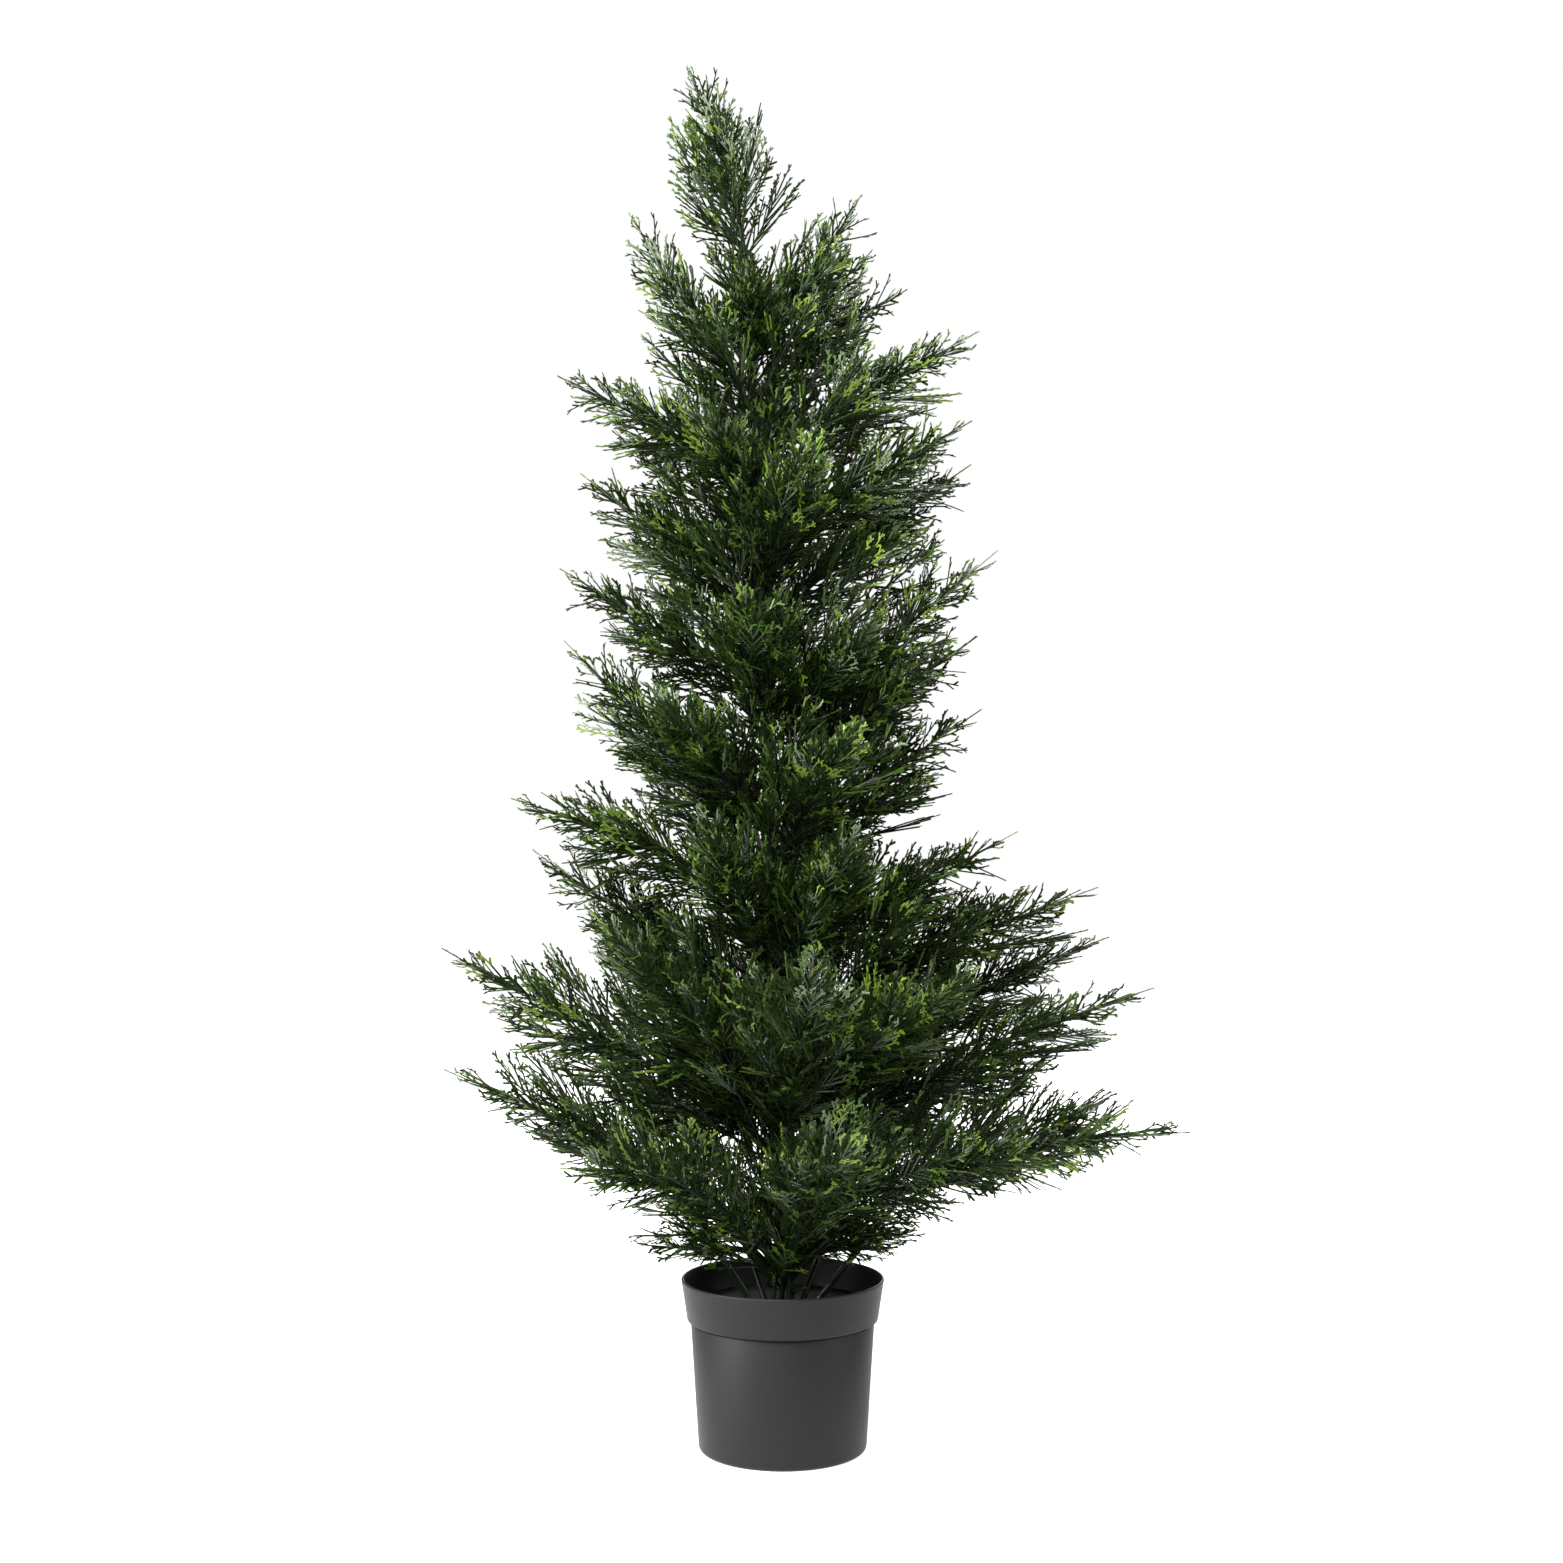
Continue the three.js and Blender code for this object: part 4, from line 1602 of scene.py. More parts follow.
@dataclass(frozen=True)
class ShootRule:
    """How side shoots leave a plume's stem, and basal shoots the bare foot of a bough, in degrees.

    Lengths are shares of the stem beyond a shoot's foot, and the width is a share of the plume's.

    Attributes:
        rows: Each shoot's share of the leafy stretch and its roll round the stem.
        turn_in: How far a shoot turns towards the stem's tip.
        basal_rows: Each basal shoot's share, before the leafy stretch, its roll and its angle to the stem.
        basal_left: Length of basal shoots on the left, against the rule's.
    """

    rows: Pairs = ((0.12, -50), (0.20, 195), (0.28, 20), (0.38, 235), (0.48, -15), (0.58, 150))
    spread: float = 31.0
    part: float = 0.72
    turn_in: float = 0.7
    basal_rows: tuple[Point, ...] = ((-0.24, 225, 44), (-0.20, -45, 46), (-0.15, 255, 50), (-0.10, -70, 46))
    basal_part: float = 0.28
    basal_turn_in: float = 0.2
    basal_left: float = 1.15
    basal_right: float = 0.78
    place_spread: float = 0.06
    roll_spread: float = 25.0
    angle_spread: float = 8.0
    reach_spread: tuple[float, float] = (0.8, 1.1)
    width: float = 0.76
    seed_step: int = 200


@dataclass(frozen=True)
class TwigRule:
    """How twigs leave the trunk itself, between the plumes and at its foot, in metres and degrees.

    Attributes:
        crowding: How they are spaced along the trunk, 1 for evenly.
        angles: Angle to the trunk by share of it.
        rise: How far above its foot a twig's room is read, at the trunk's tip.
        aside: How much further the twigs on the right reach, as a share.
        reach: Length, as a share of the room round the trunk.
        turn_out: How far a twig turns away from the trunk.
        foot_spread: How far the twigs at the trunk's foot lean out, against their rise.
    """

    count: int = 98
    first: float = 0.02
    last: float = 0.98
    crowding: float = 0.92
    angles: Pairs = ((0.03, 20.0), (0.12, 40.0), (0.30, 54.0), (1.0, 38.0))
    angle_spread: float = 8.0
    rise: float = 0.12
    aside: float = 0.20
    reach: float = 0.82
    reach_spread: tuple[float, float] = (0.8, 1.05)
    turn_out: float = 0.3
    width: float = 0.044
    bare: float = 0.12
    foot_count: int = 7
    foot_bearing: float = -100.0
    foot_first: float = 0.005
    foot_step: float = 0.002
    foot_spread: float = 0.36
    foot_reach: tuple[float, float] = (0.085, 0.110)
    foot_width: float = 0.030


@dataclass(frozen=True)
class StrandRule:
    """How strands stand on a rib, and round a stem as its heart of dark strands that are painted shade, in
    metres and degrees.

    Attributes:
        tilt_spread: How far a strand leaves the spray's flat.
        reach: Greatest length, as a share of the spray's.
        taper: How sharply a spray narrows to its tip.
        heart_guide: A direction that no stem runs along, which the heart's rolls are counted from.
        same: Difference in length up to which moulded kinds fit alike.
    """

    pitch: float = 0.0063
    fewest: int = 3
    first: float = 0.08
    last: float = 0.97
    place_spread: float = 0.3
    foot_angle: float = 33.0
    tip_angle: float = 19.0
    angle_spread: float = 5.0
    tilt_spread: float = 9.0
    reach: float = 0.78
    taper: float = 0.6
    longest: float = 0.070
    shortest: float = 0.012
    length_spread: tuple[float, float] = (0.72, 1.0)
    heart_pitch: float = 0.0038
    heart_last: float = 0.85
    heart_angles: tuple[float, float] = (30.0, 55.0)
    heart_lengths: tuple[float, float] = (0.022, 0.044)
    heart_guide: Point = (0.31, 0.93, 0.2)
    same: float = 1e-6


@dataclass(frozen=True)
class StemRule:
    """How plumes' stems and sprays' ribs are drawn as tubes.

    A stem's girth is a share of its plume's half width. Its heart starts a share up its path.
    """

    rings: int = 12
    finer_rings: int = 5
    girth: float = 0.042
    end_girth: float = 0.0009
    last: float = 0.9
    sides: int = 6
    heart_first: float = 0.1
    heart_bare: float = 0.2
    rib_rings: int = 3
    rib_girths: tuple[float, float] = (0.00125, 0.0008)
    rib_sides: int = 3


@dataclass(frozen=True)
class CrownRoom:
    """The crown's room round the trunk, as height and radius.

    Attributes:
        twigs: How far the trunk's twigs may reach.
        edge: Where the crown's outside is.
        core: Share of the way to the outside up to which the crown's core goes, whose sprays get the deep
            plastic as painted shade.
        outside: Share of it from which sprays count as outer ones, which get the light plastics as painted
            light.
    """

    twigs: Pairs = (
        (0.15, 0.06), (0.26, 0.18), (0.40, 0.20), (0.52, 0.165), (0.64, 0.145),
        (0.76, 0.155), (0.95, 0.160), (1.05, 0.12), (1.12, 0.100), (1.20, 0.085),
    )
    edge: Pairs = (
        (0.16, 0.035), (0.30, 0.345), (0.47, 0.345), (0.60, 0.245),
        (0.80, 0.185), (0.95, 0.138), (1.16, 0.064), (1.29, 0.035),
    )
    core: float = 0.26
    outside: float = 0.78


@dataclass
class Foliage:
    """The crown: plumes of flat sprays set round the trunk by the source's seeded rule, in finer twigs.

    Attributes:
        HALFWAY: Height and bearing that the trunk's own heart counts with.
        pot: The pot that the foliage keeps clear of.
        seed: Seed of the first plume.
        golden_angle: Roll from one spray, strand or twig to the next, in degrees.
        kinds: The moulded kinds of the outer strands.
        inner_kinds: Those of the inner ones.
    """

    HALFWAY: ClassVar[float] = 0.5

    line: TrunkLine
    pot: Pot
    seed: int = 2600
    golden_angle: float = 137.5
    bough: BoughRule = BoughRule()
    spray: SprayRule = SprayRule()
    shoot: ShootRule = ShootRule()
    twig: TwigRule = TwigRule()
    strand: StrandRule = StrandRule()
    stem: StemRule = StemRule()
    room: CrownRoom = CrownRoom()
    kinds: tuple[StrandKind, ...] = (
        StrandKind(0.018, 2, 11, 0.0056, first=0.36),
        StrandKind(0.018, 3, 12, 0.0052, first=0.40),
        StrandKind(0.032, 3, 13, 0.0066),
        StrandKind(0.032, 4, 14, 0.0062),
        StrandKind(0.032, 3, 15, 0.0070),
        StrandKind(0.050, 5, 16, 0.0072),
        StrandKind(0.050, 5, 17, 0.0068),
        StrandKind(0.050, 4, 18, 0.0078),
        StrandKind(0.068, 6, 19, 0.0076),
        StrandKind(0.068, 5, 20, 0.0082),
    )
    inner_kinds: tuple[StrandKind, ...] = (
        StrandKind(0.020, 2, 21, 0.0066),
        StrandKind(0.040, 3, 22, 0.0082, first=0.40),
        StrandKind(0.064, 5, 23, 0.0090, first=0.30),
    )

    def plumes(self) -> list[Plume]:
        """Returns every plume in the source's order, the leader last."""
        made: list[Plume] = []
        for tier in TIERS:
            for side, row in tier.boughs.items():
                path = self._bough_path(row, tier.climb)
                seed = self.seed + len(made)
                over = self.bough.over - self.bough.over_swing * math.cos(math.radians(row[0]))
                under, over = (self.bough.skirt_under, 1.0) if tier.limbs else (1.0, over)
                shape = (tier.bare, under, over, self._taper(seed), tier.limbs)
                made.append(Plume(f"{tier.name}_{side}", path, tier.width * MM, seed, *shape))
        made.append(self._leader(self.seed + len(made)))
        return made

    def _leader(self, seed: int) -> Plume:
        """Makes the plume on the trunk's tip.

        Args:
            seed: Its seed.

        Returns:
            The plume.
        """
        leader = Leader()
        along = self.line.tangent(1)
        start = self.line.point(1) + along * leader.gap
        tip = np.array(leader.tip)
        bend = start + along * leader.rise * (tip[2] - start[2])
        return Plume("leader", BentPath(start, bend, tip), leader.width * MM, seed, taper=leader.taper)

    def _taper(self, seed: int) -> float:
        """Returns how sharply the plume of that seed narrows to its tip."""
        return lerp(self.bough.bluntest, self.bough.sharpest, SeedRun.TAPER.draws(seed).share())

    def _bough_path(self, row: tuple[float, float, float, float], climb: float) -> BentPath:
        """Draws a bough from the trunk's axis through one bend to its tip.

        Args:
            row: Its bearing, the reach of its tip and the heights of its foot and its tip.
            climb: Angle above level at which it leaves the trunk.

        Returns:
            Its path.
        """
        bearing = math.radians(row[0])
        reach, foot, tip = (value * MM for value in row[1:])
        start = self.line.point(self.line.share(foot))
        out = level_way(bearing)
        run = self.bough.bend * reach
        bend = start + out * run + UP * run * math.tan(math.radians(climb))
        end = start + out * reach
        end[2] = tip
        return BentPath(start, bend, end)

    def side_shoots(self, plume: Plume) -> Iterator[Plume]:
        """Sets the smaller plumes that leave a plume's stem, within its reach.

        Args:
            plume: The plume.

        Yields:
            Each shoot, and after those the basal ones of a bough beside or behind the pot's mouth.
        """
        rule = self.shoot
        draws = SeedRun.SHOOTS.draws(plume.seed)
        length = plume.path.length()
        rows = [(share, roll, rule.spread) for share, roll in rule.rows]
        rows += rule.basal_rows if plume.hangs() else ()
        for place, (share, roll, spread) in enumerate(rows):
            basal = share < 0
            foot = lerp(plume.bare, 1, share + rule.place_spread * draws.jitter())
            turn = math.radians(roll + rule.roll_spread * draws.jitter())
            along = plume.path.tangent(foot)
            out = rolled(along, turn)
            angle = math.radians(spread + rule.angle_spread * draws.jitter())
            lift = 0.0 if basal else self.spray.lift * abs(along[1])
            direction = unit(math.cos(angle) * along + math.sin(angle) * out + lift * UP)
            part = rule.basal_part if basal else rule.part
            reach = length * (1 - foot) * part * lerp(*rule.reach_spread, draws.share())
            if basal:
                reach *= rule.basal_right if plume.path.end[0] > 0 else rule.basal_left
            start = plume.path.point(foot)
            bend = start + direction * reach / 2
            turn_in = rule.basal_turn_in if basal else rule.turn_in
            path = BentPath(start, bend, bend + unit(direction + turn_in * along) * reach / 2)
            seed = plume.seed + rule.seed_step * (place + 1)
            shape = (0.0, plume.under, plume.over, self._taper(seed))
            yield Plume("shoot", path, plume.width * rule.width, seed, *shape)

    def trunk_twigs(self) -> Iterator[Plume]:
        """Yields the twigs that leave the trunk, first those at its foot, then those between the plumes."""
        rule = self.twig
        draws = Draws(self.seed - 1)
        for place in range(rule.foot_count):
            roll = math.radians(rule.foot_bearing + place * self.golden_angle)
            start = self.line.point(rule.foot_first + rule.foot_step * place)
            direction = unit(rule.foot_spread * level_way(roll) + UP)
            tip = start + direction * lerp(*rule.foot_reach, draws.share())
            seed = self.seed + SeedRun.FOOT_TWIGS.value + place
            yield Plume("twig", BentPath(start, (start + tip) / 2, tip), rule.foot_width, seed)
        for place in range(rule.count):
            step = ((place + draws.share()) / rule.count) ** rule.crowding
            share = lerp(rule.first, rule.last, step)
            roll = place * math.radians(self.golden_angle)
            out = level_way(roll)
            angle = float(np.interp(share, *zip(*rule.angles))) + rule.angle_spread * draws.jitter()
            angle = math.radians(angle)
            direction = math.cos(angle) * self.line.tangent(share) + math.sin(angle) * out
            start = self.line.point(share)
            room = float(np.interp(start[2] + rule.rise * share, *zip(*self.room.twigs)))
            room *= 1 + rule.aside * math.cos(roll)
            reach = rule.reach * room / math.sin(angle) * lerp(*rule.reach_spread, draws.share())
            bend = start + direction * reach / 2
            path = BentPath(start, bend, bend + unit(direction + rule.turn_out * out) * reach / 2)
            seed = self.seed + SeedRun.TWIGS.value + place
            yield Plume("twig", path, rule.width, seed, bare=rule.bare, taper=self._taper(seed))

    def _pitch(self, plume: Plume) -> float:
        """Returns the distance between a plume's sprays."""
        pitch = self.spray.shoot_pitch if plume.bare == 0 else self.spray.pitch
        return self.spray.leader_pitch if plume.name == "leader" else pitch

    def sprays(self, plume: Plume) -> Iterator[Spray]:
        """Sets the sprays of a plume round its stem by the seeded rule.

        Args:
            plume: The plume.

        Yields:
            Each spray, and last the one that carries on to the plume's tip.
        """
        rule = self.spray
        draws = Draws(plume.seed)
        draws.share()
        bare = plume.bare * rule.bare_share
        leafy = plume.path.length() * (1 - bare)
        count = max(rule.fewest, round(leafy / self._pitch(plume)))
        phase = draws.share() * 2 * math.pi
        swell_start, swell_run = rule.swell
        for place in range(count):
            share = lerp(rule.first, rule.last, (place + 0.5 + rule.place_spread * draws.jitter()) / count)
            angle = lerp(rule.foot_angle, rule.tip_angle, share) + rule.angle_spread * draws.jitter()
            angle = math.radians(angle)
            roll = phase + place * math.radians(self.golden_angle)
            twist = math.radians(rule.twist_spread) * draws.jitter()
            on_path = lerp(bare, 1, share)
            along = plume.path.tangent(on_path)
            out = rolled(along, roll)
            direction = unit(math.cos(angle) * along + math.sin(angle) * out + rule.lift * abs(along[1]) * UP)
            across = unit(np.cross(along, out))
            face = unit(np.cross(direction, across))
            face = math.cos(twist) * face + math.sin(twist) * np.cross(direction, face)
            profile = math.sqrt(math.sin(math.pi * (swell_start + swell_run * share)))
            sideways = plume.width * profile / math.sin(angle)
            slope = math.cos(angle) + plume.taper * math.sin(angle)
            forward = (rule.overrun - share) * leafy / slope
            length = min(sideways, forward) * lerp(*rule.length_spread, draws.share())
            under = lerp(rule.foot_under, plume.under, min(1.0, share / rule.under_run))
            length *= lerp(under, 1, smooth_step(out[2], *rule.under_zone))
            length *= lerp(1, plume.over, smooth_step(out[2], *rule.over_zone))
            if draws.share() < rule.long_share:
                length *= rule.long_reach
            end = lerp(rule.end_shortest, rule.end_longest, draws.share())
            rib = max(rule.least_rib * length, length - end)
            foot = plume.path.point(on_path)
            swept = unit(direction + rule.sweep * along)
            middle = foot + direction * rib * 0.5
            path = BentPath(foot, middle, middle + swept * rib * 0.5)
            if self.pot.clears(path.end + swept * (length - rib)):
                yield Spray(path, face, length, rib, 1.0, self._depth(path.end))
        yield self._terminal(plume, bare)

    def _terminal(self, plume: Plume, bare: float) -> Spray:
        """Makes the slim spray that carries a plume on to its tip.

        Args:
            plume: The plume.
            bare: Share of its path that sprays leave bare.

        Returns:
            The spray.
        """
        rule = self.spray
        foot = plume.path.point(lerp(bare, 1, rule.terminal_foot))
        tip = plume.path.point(1)
        direction = unit(tip - foot)
        face = np.cross(direction, unit(np.cross(UP, direction)))
        length = float(np.linalg.norm(tip - foot))
        rib = length - min(rule.whip, rule.whip_share * length)
        path = BentPath(foot, foot + direction * rib / 2, foot + direction * rib)
        return Spray(path, face, length, rib, rule.terminal_slim, 1.0)

    def _depth(self, point: np.ndarray) -> float:
        """Works out how far out in the crown a point is, which sets the painted shade and light of the
        plastics.

        Args:
            point: The point.

        Returns:
            0 in the crown's core and 1 on its outside.
        """
        axis = self.line.point(min(1.0, self.line.share(point[2])))
        edge = float(np.interp(point[2], *zip(*self.room.edge)))
        out = math.hypot(point[0] - axis[0], point[1] - axis[1]) / edge
        return smooth_step(out, self.room.core, self.room.outside)

    def strands(self, spray: Spray, draws: Draws, tones: ToneDeal) -> Iterator[Strand]:
        """Sets the strands of a spray, to its two sides in turn and one at its end.

        Args:
            spray: The spray.
            draws: The run of numbers to draw from.
            tones: Deals out the plastics.

        Yields:
            Each strand.
        """
        rule = self.strand
        tones.turn_to(spray)
        count = max(rule.fewest, round(spray.rib / rule.pitch))
        for place in range(count):
            share = lerp(rule.first, rule.last, (place + 0.5 + rule.place_spread * draws.jitter()) / count)
            side = 1.0 if place % 2 else -1.0
            angle = lerp(rule.foot_angle, rule.tip_angle, share) + rule.angle_spread * draws.jitter()
            angle = math.radians(angle)
            tilt = math.radians(rule.tilt_spread) * draws.jitter()
            along = spray.path.tangent(share)
            across = unit(np.cross(spray.face, along))
            aside = math.cos(tilt) * side * across + math.sin(tilt) * spray.face
            direction = unit(math.cos(angle) * along + math.sin(angle) * aside)
            reach = spray.length * rule.reach * spray.slim
            room = (spray.length - share * spray.rib) / (math.cos(angle) + rule.taper * math.sin(angle))
            length = min(reach, room, rule.longest) * lerp(*rule.length_spread, draws.share())
            length = max(length, rule.shortest)
            foot = spray.path.point(share)
            if self.pot.clears(foot + direction * length):
                out = (share * spray.rib + length * math.cos(angle)) / spray.length
                yield self._strand(foot, direction, side * spray.face, length, out, draws, tones)
        length = spray.length - spray.rib
        yield self._strand(spray.path.point(1), spray.path.tangent(1), spray.face, length, 1.0, draws, tones)

    def heart(
        self, line: BentPath | TrunkLine, first: float, draws: Draws, tones: ToneDeal
    ) -> Iterator[Strand]:
        """Sets the strands that stand close round a stem, dark in the deep plastic as painted shade.

        Args:
            line: The stem's line.
            first: Share of the line where they start.
            draws: The run of numbers to draw from.
            tones: Deals out the plastics.

        Yields:
            Each strand.
        """
        rule = self.strand
        tones.turn_to(None)
        count = round(line.length() / rule.heart_pitch)
        for place in range(count):
            share = lerp(first, rule.heart_last, (place + draws.share()) / count)
            roll = place * math.radians(self.golden_angle)
            angle = math.radians(lerp(*rule.heart_angles, draws.share()))
            along = line.tangent(share)
            out = rolled(along, roll, np.array(rule.heart_guide))
            direction = math.cos(angle) * along + math.sin(angle) * out
            face = unit(np.cross(direction, unit(np.cross(along, out) + draws.jitter() * out)))
            length = lerp(*rule.heart_lengths, draws.share())
            foot = line.point(share)
            if self.pot.clears(foot + direction * length):
                yield self._strand(foot, direction, face, length, 0.0, draws, tones)

    def _strand(
        self, foot: np.ndarray, along: np.ndarray, face: np.ndarray, length: float, out: float, draws: Draws,
        tones: ToneDeal
    ) -> Strand:
        """Makes a strand of about that length of one of the moulded kinds.

        Args:
            foot: Where it stands.
            along: Its direction.
            face: Normal of its flat side.
            length: Its length.
            out: How far out on its spray its tip is, 1 for the spray's end.
            draws: The run of numbers to draw from.
            tones: Deals out the plastics.

        Returns:
            The strand.
        """
        kinds = self.inner_kinds if out < ToneDeal.RULE.inside else self.kinds
        nearest = min(abs(kind.length - length) for kind in kinds)
        fitting = [kind for kind in kinds if abs(kind.length - length) < nearest + self.strand.same]
        kind = fitting[int(draws.share() * len(fitting))]
        place = (self.kinds + self.inner_kinds).index(kind)
        return Strand(foot, along, face, length / kind.length, place, tones.inner(), tones.tip(out))

    def _tones(self, plume: Plume) -> ToneDeal:
        """Starts the deal of a plume's plastics, by its height and by how far it points to a side, which set
        its painted light and shade.

        Args:
            plume: The plume.

        Returns:
            The deal.
        """
        height = smooth_step(plume.path.end[2], self.room.twigs[0][0], self.line.tip)
        run = plume.path.end - plume.path.start
        aside = abs(run[0]) / max(np.hypot(run[0], run[1]), MM)
        return ToneDeal(SeedRun.TONES.draws(plume.seed), height, aside)

    def _stem(self, plume: Plume, rings: int) -> TubePath:
        """Returns the points of a plume's stem and its radius at each."""
        first = plume.bare if plume.limb else 0.0
        points = np.array([plume.path.point(share) for share in np.linspace(first, self.stem.last, rings)])
        return points, np.linspace(plume.width * self.stem.girth, self.stem.end_girth, rings)

    def _rib(self, spray: Spray) -> TubePath:
        """Returns the points of a spray's rib and its radius at each."""
        points = np.array([spray.path.point(share) for share in np.linspace(0, 1, self.stem.rib_rings)])
        return points, np.linspace(*self.stem.rib_girths, self.stem.rib_rings)

    def collection(self, name: str, shapes: list[Shape]) -> bpy.types.Collection:
        """Gathers the meshes of moulded kinds in a collection that isn't shown itself.

        Args:
            name: The collection's name.
            shapes: The kinds' shapes.

        Returns:
            The collection.
        """
        collection = bpy.data.collections.new(name)
        for place, shape in enumerate(shapes):
            label = f"{name}_{place:02d}"
            collection.objects.link(bpy.data.objects.new(label, mesh_of(label, shape)))
        return collection

    def build(self, surface: MouldedSurface, sheath: bpy.types.Material) -> list[bpy.types.Object]:
        """Builds the crown and dresses it.

        Args:
            surface: The shader group of the moulded plastics.
            sheath: The material of the plumes' stems.

        Returns:
            The pieces.
        """
        strands: list[Strand] = []
        stems: list[TubePath] = []
        ribs: list[TubePath] = []
        plumes = self.plumes()
        nodes = ["plume_" + plume.name for plume in plumes]
        tones = ToneDeal(Draws(self.seed), self.HALFWAY, self.HALFWAY)
        # The trunk's heart strands, like each plume's, are dark in the deep plastic as painted shade.
        strands.extend(self.heart(self.line, 0.0, Draws(self.seed), tones))
        finer = [*self.trunk_twigs(), *(shoot for plume in plumes for shoot in self.side_shoots(plume))]
        for place, plume in enumerate(plumes + finer):
            draws = SeedRun.STRANDS.draws(plume.seed)
            tones = self._tones(plume)
            if place < len(plumes):
                stems.append(self._stem(plume, self.stem.rings))
                first = self.stem.heart_first + self.stem.heart_bare * (plume.bare if plume.limb else 0.0)
                strands.extend(self.heart(plume.path, first, draws, tones))
            else:
                stems.append(self._stem(plume, self.stem.finer_rings))
            for spray in self.sprays(plume):
                ribs.append(self._rib(spray))
                strands.extend(self.strands(spray, draws, tones))
        tubes = PathTubes()
        stem_mesh = tubes.mesh("plume_stems", stems, self.stem.sides, sheath)
        pieces = [finished("plume_stems", stem_mesh, nodes)]
        rib_mesh = tubes.mesh("spray_ribs", ribs, self.stem.rib_sides, RIB_FINISH.material(surface))
        pieces.append(finished("spray_ribs", rib_mesh, nodes))
        scatter = StrandScatter()
        kinds = self.kinds + self.inner_kinds
        shanks = self.collection("shank", [kind.shank() for kind in kinds])
        tips = self.collection("tip", [kind.tip() for kind in kinds])
        for tone, finish in STRAND_FINISHES.items():
            chosen = [strand for strand in strands if strand.tone is tone]
            material = finish.material(surface)
            pieces.extend(self._pieces(scatter, f"strands_{tone.value}", chosen, shanks, material, nodes))
        for tone, finish in TIP_FINISHES.items():
            chosen = [strand for strand in strands if strand.tip_tone is tone]
            material = finish.material(surface)
            pieces.extend(self._pieces(scatter, f"tips_{tone.value}", chosen, tips, material, nodes))
        return pieces

    def _pieces(
        self, scatter: StrandScatter, name: str, strands: list[Strand], kinds: bpy.types.Collection,
        finish: bpy.types.Material, nodes: list[str]
    ) -> Iterator[bpy.types.Object]:
        """Builds the strands of one plastic in pieces that keep under the triangle limit.

        Args:
            scatter: Sets the strands.
            name: Start of the pieces' names.
            strands: The strands.
            kinds: The moulded kinds' meshes.
            finish: Their material.
            nodes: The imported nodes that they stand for.

        Yields:
            Each piece.
        """
        sizes = []
        for kind in sorted(kinds.objects, key=lambda item: item.name):
            kind.data.calc_loop_triangles()
            sizes.append(len(kind.data.loop_triangles))
        total = sum(sizes[strand.kind] for strand in strands)
        parts = max(1, math.ceil(total / TRIANGLE_ROOM))
        for part in range(parts):
            label = f"{name}_{part + 1}"
            chosen = strands[part * len(strands) // parts:(part + 1) * len(strands) // parts]
            yield finished(label, scatter.mesh(label, chosen, kinds, finish), nodes)


@dataclass(frozen=True)
class SoftLight:
    """One soft square light of the studio, with its side in metres and its power in watts."""

    name: str
    place: Point
    size: float
    power: float

    def hang(self, aim: Point) -> None:
        """Hangs the light so that it looks at a point.

        Args:
            aim: The point.
        """
        lamp = bpy.data.lights.new(self.name, "AREA")
        lamp.size = self.size
        lamp.energy = self.power
        item = bpy.data.objects.new(self.name, lamp)
        item.location = self.place
        item.rotation_euler = (Vector(aim) - Vector(self.place)).to_track_quat("-Z", "Y").to_euler()
        bpy.context.scene.collection.objects.link(item)


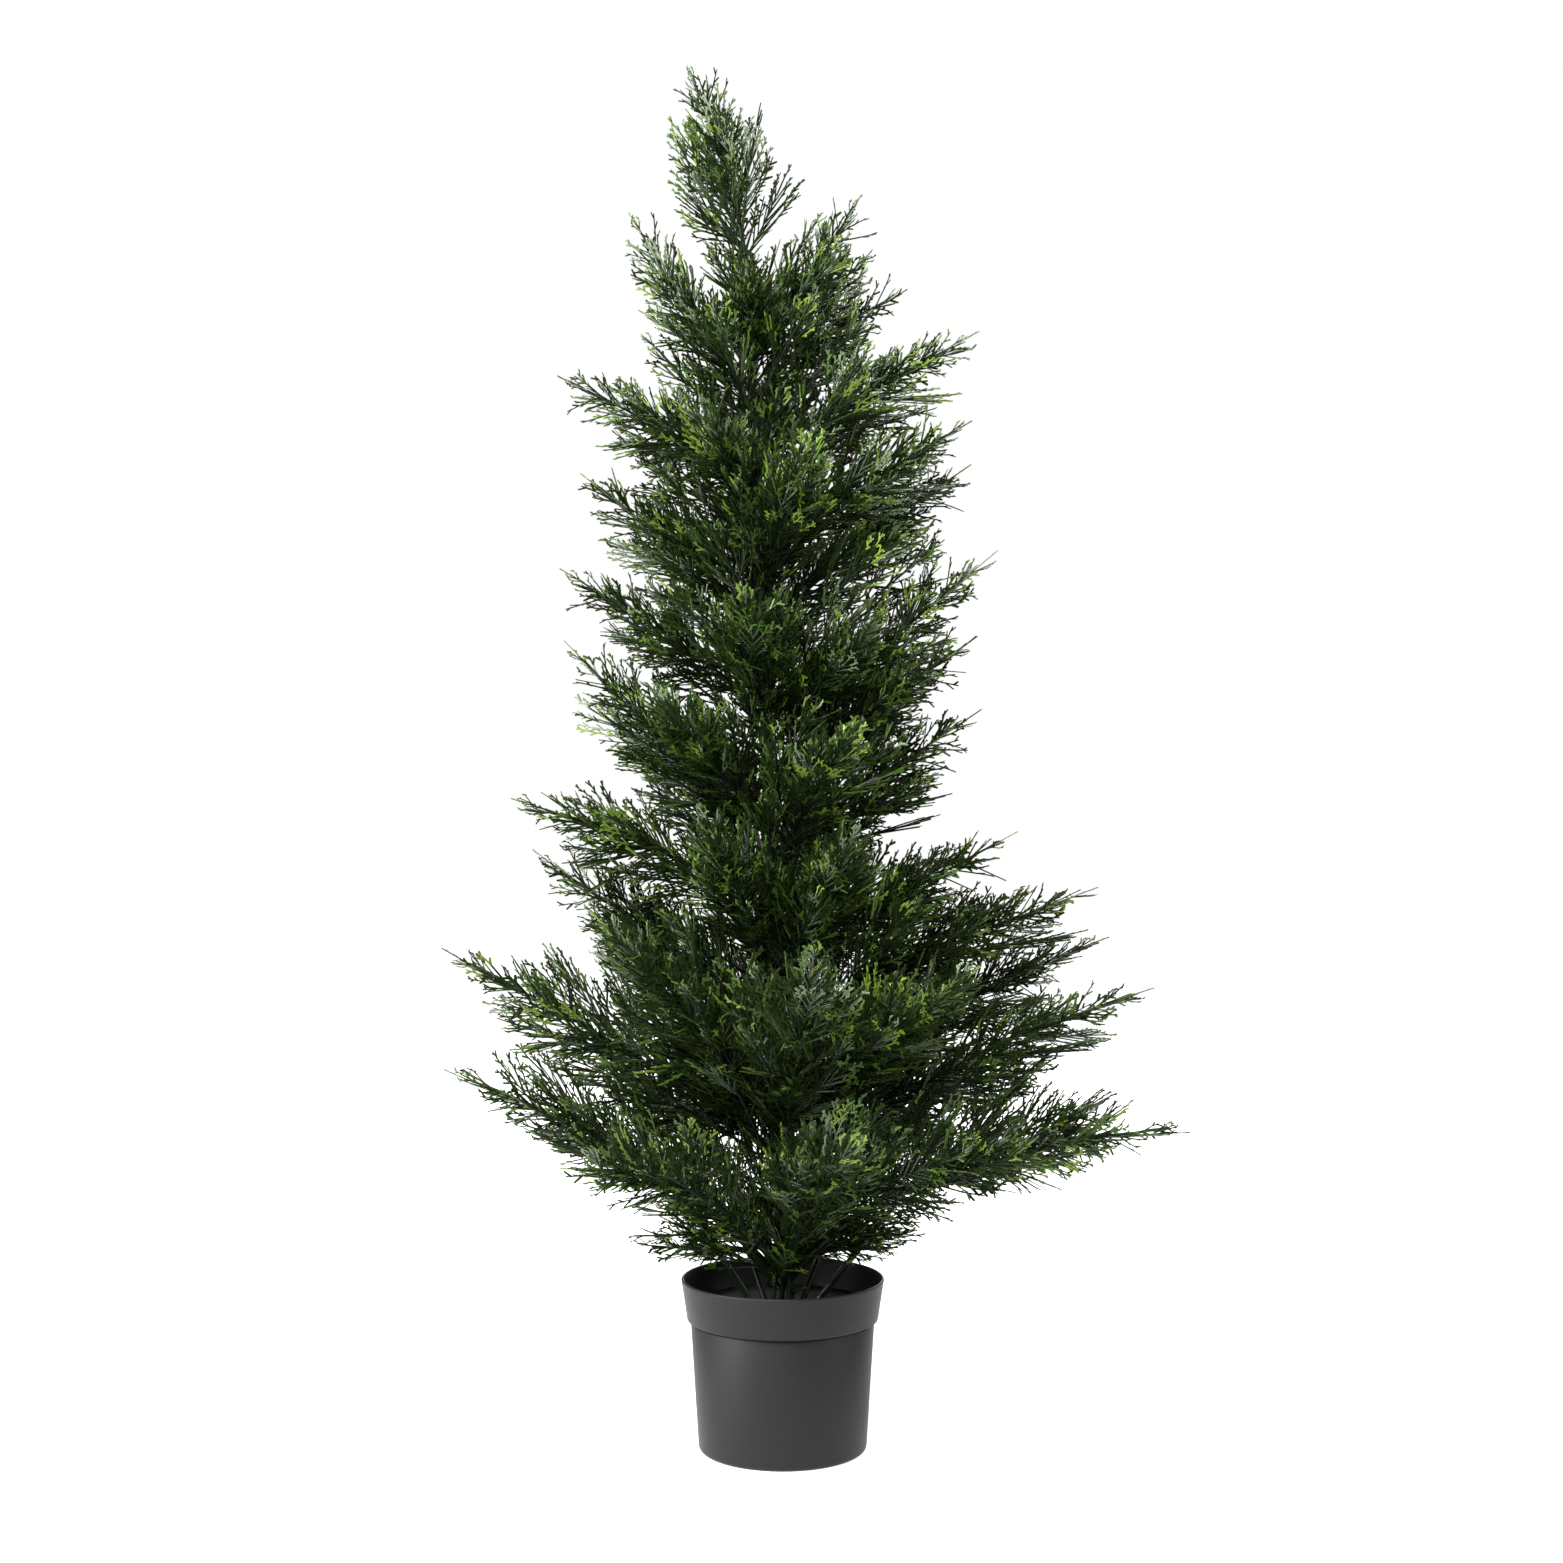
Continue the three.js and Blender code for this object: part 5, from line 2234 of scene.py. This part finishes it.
@dataclass
class Stage:
    """Pale floor, soft studio light and the camera at the photograph's angle.

    Attributes:
        aside: Camera's offset to the right.
        focus_px: Focal length, in the photograph's pixels.
        frame_px: Width of the photograph, in pixels.
        floor_glow: Light that the floor adds, so that it is as white as the surround.
        surround: Strength of the white surround as a light.
        aim: What the lights look at.
    """

    distance: float = 2.142
    height: float = 0.624
    aside: float = -0.0011
    focus_px: int = 2287
    frame_px: int = 1563
    sensor: float = 36.0
    floor_half: float = 12.0
    floor_grey: float = 0.6
    floor_roughness: float = 0.9
    floor_specular: float = 0.1
    floor_glow: float = 0.86
    surround: float = 0.275
    aim: Point = (0.0, 0.0, 0.6)
    lights: tuple[SoftLight, ...] = (
        SoftLight("key_left", (-2.95, -1.4, 1.8), 1.2, 228.0),
        SoftLight("fill_right", (2.8, -1.0, 1.5), 1.6, 44.0),
        SoftLight("top_front", (-0.4, -1.75, 2.6), 1.3, 178.0),
        SoftLight("soft_back", (0.7, 2.6, 1.6), 2.0, 45.0),
        SoftLight("low_left", (-1.5, -0.45, 0.2), 0.9, 12.0),
    )

    def floor(self) -> None:
        """Lays the floor."""
        half = self.floor_half
        corners = [(-half, -half, 0.0), (half, -half, 0.0), (half, half, 0.0), (-half, half, 0.0)]
        mesh = mesh_of("floor", (corners, [(0, 1, 2, 3)]))
        material = bpy.data.materials.new("pale_floor")
        material.use_nodes = True
        shader = material.node_tree.nodes["Principled BSDF"]
        shader.inputs["Base Color"].default_value = (self.floor_grey, self.floor_grey, self.floor_grey, 1.0)
        shader.inputs["Roughness"].default_value = self.floor_roughness
        shader.inputs["Specular IOR Level"].default_value = self.floor_specular
        shader.inputs["Emission Color"].default_value = (1.0, 1.0, 1.0, 1.0)
        shader.inputs["Emission Strength"].default_value = self.floor_glow
        mesh.materials.append(material)
        floor = bpy.data.objects.new("floor", mesh)
        bpy.context.scene.collection.objects.link(floor)

    def world(self) -> None:
        """Sets an even white surround, full white to the camera and softer as a light."""
        world = bpy.data.worlds.new("studio")
        world.use_nodes = True
        nodes, links = world.node_tree.nodes, world.node_tree.links
        seen = nodes.new("ShaderNodeLightPath").outputs["Is Camera Ray"]
        strength = nodes.new("ShaderNodeMapRange")
        strength.inputs["To Min"].default_value = self.surround
        strength.inputs["To Max"].default_value = 1.0
        links.new(seen, strength.inputs["Value"])
        background = nodes["Background"]
        background.inputs["Color"].default_value = (1.0, 1.0, 1.0, 1.0)
        links.new(strength.outputs["Result"], background.inputs["Strength"])
        bpy.context.scene.world = world
        bpy.context.scene.view_settings.view_transform = "Standard"

    def camera(self) -> None:
        """Stands the camera level in front of the tree."""
        lens = bpy.data.cameras.new("camera")
        lens.sensor_width = self.sensor
        lens.lens = self.focus_px / self.frame_px * self.sensor
        camera = bpy.data.objects.new("camera", lens)
        camera.location = (self.aside, -self.distance, self.height)
        camera.rotation_euler = (math.pi / 2, 0, 0)
        bpy.context.scene.collection.objects.link(camera)
        bpy.context.scene.camera = camera

    def build(self) -> None:
        """Sets the stage."""
        self.floor()
        self.world()
        for light in self.lights:
            light.hang(self.aim)
        self.camera()


def main() -> None:
    """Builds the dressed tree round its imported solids."""
    logging.basicConfig(level=logging.INFO, format="%(message)s")
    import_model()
    Stage().build()
    surface = MouldedSurface()
    line = TrunkLine()
    pot = Pot()
    foliage = Foliage(line, pot)
    pot.build(POT_FINISH.material(surface))
    Filling().build(FILLING_FINISH.material(surface))
    plumes = foliage.plumes()
    sheath = SHEATH_FINISH.material(surface)
    sheaths = Sheaths(line)
    sheaths.trunk([plume.path.start[2] for plume in plumes if not plume.limb], sheath)
    sheaths.boughs([plume for plume in plumes if plume.limb], sheath)
    foliage.build(surface, sheath)


if __name__ == "__main__":
    main()
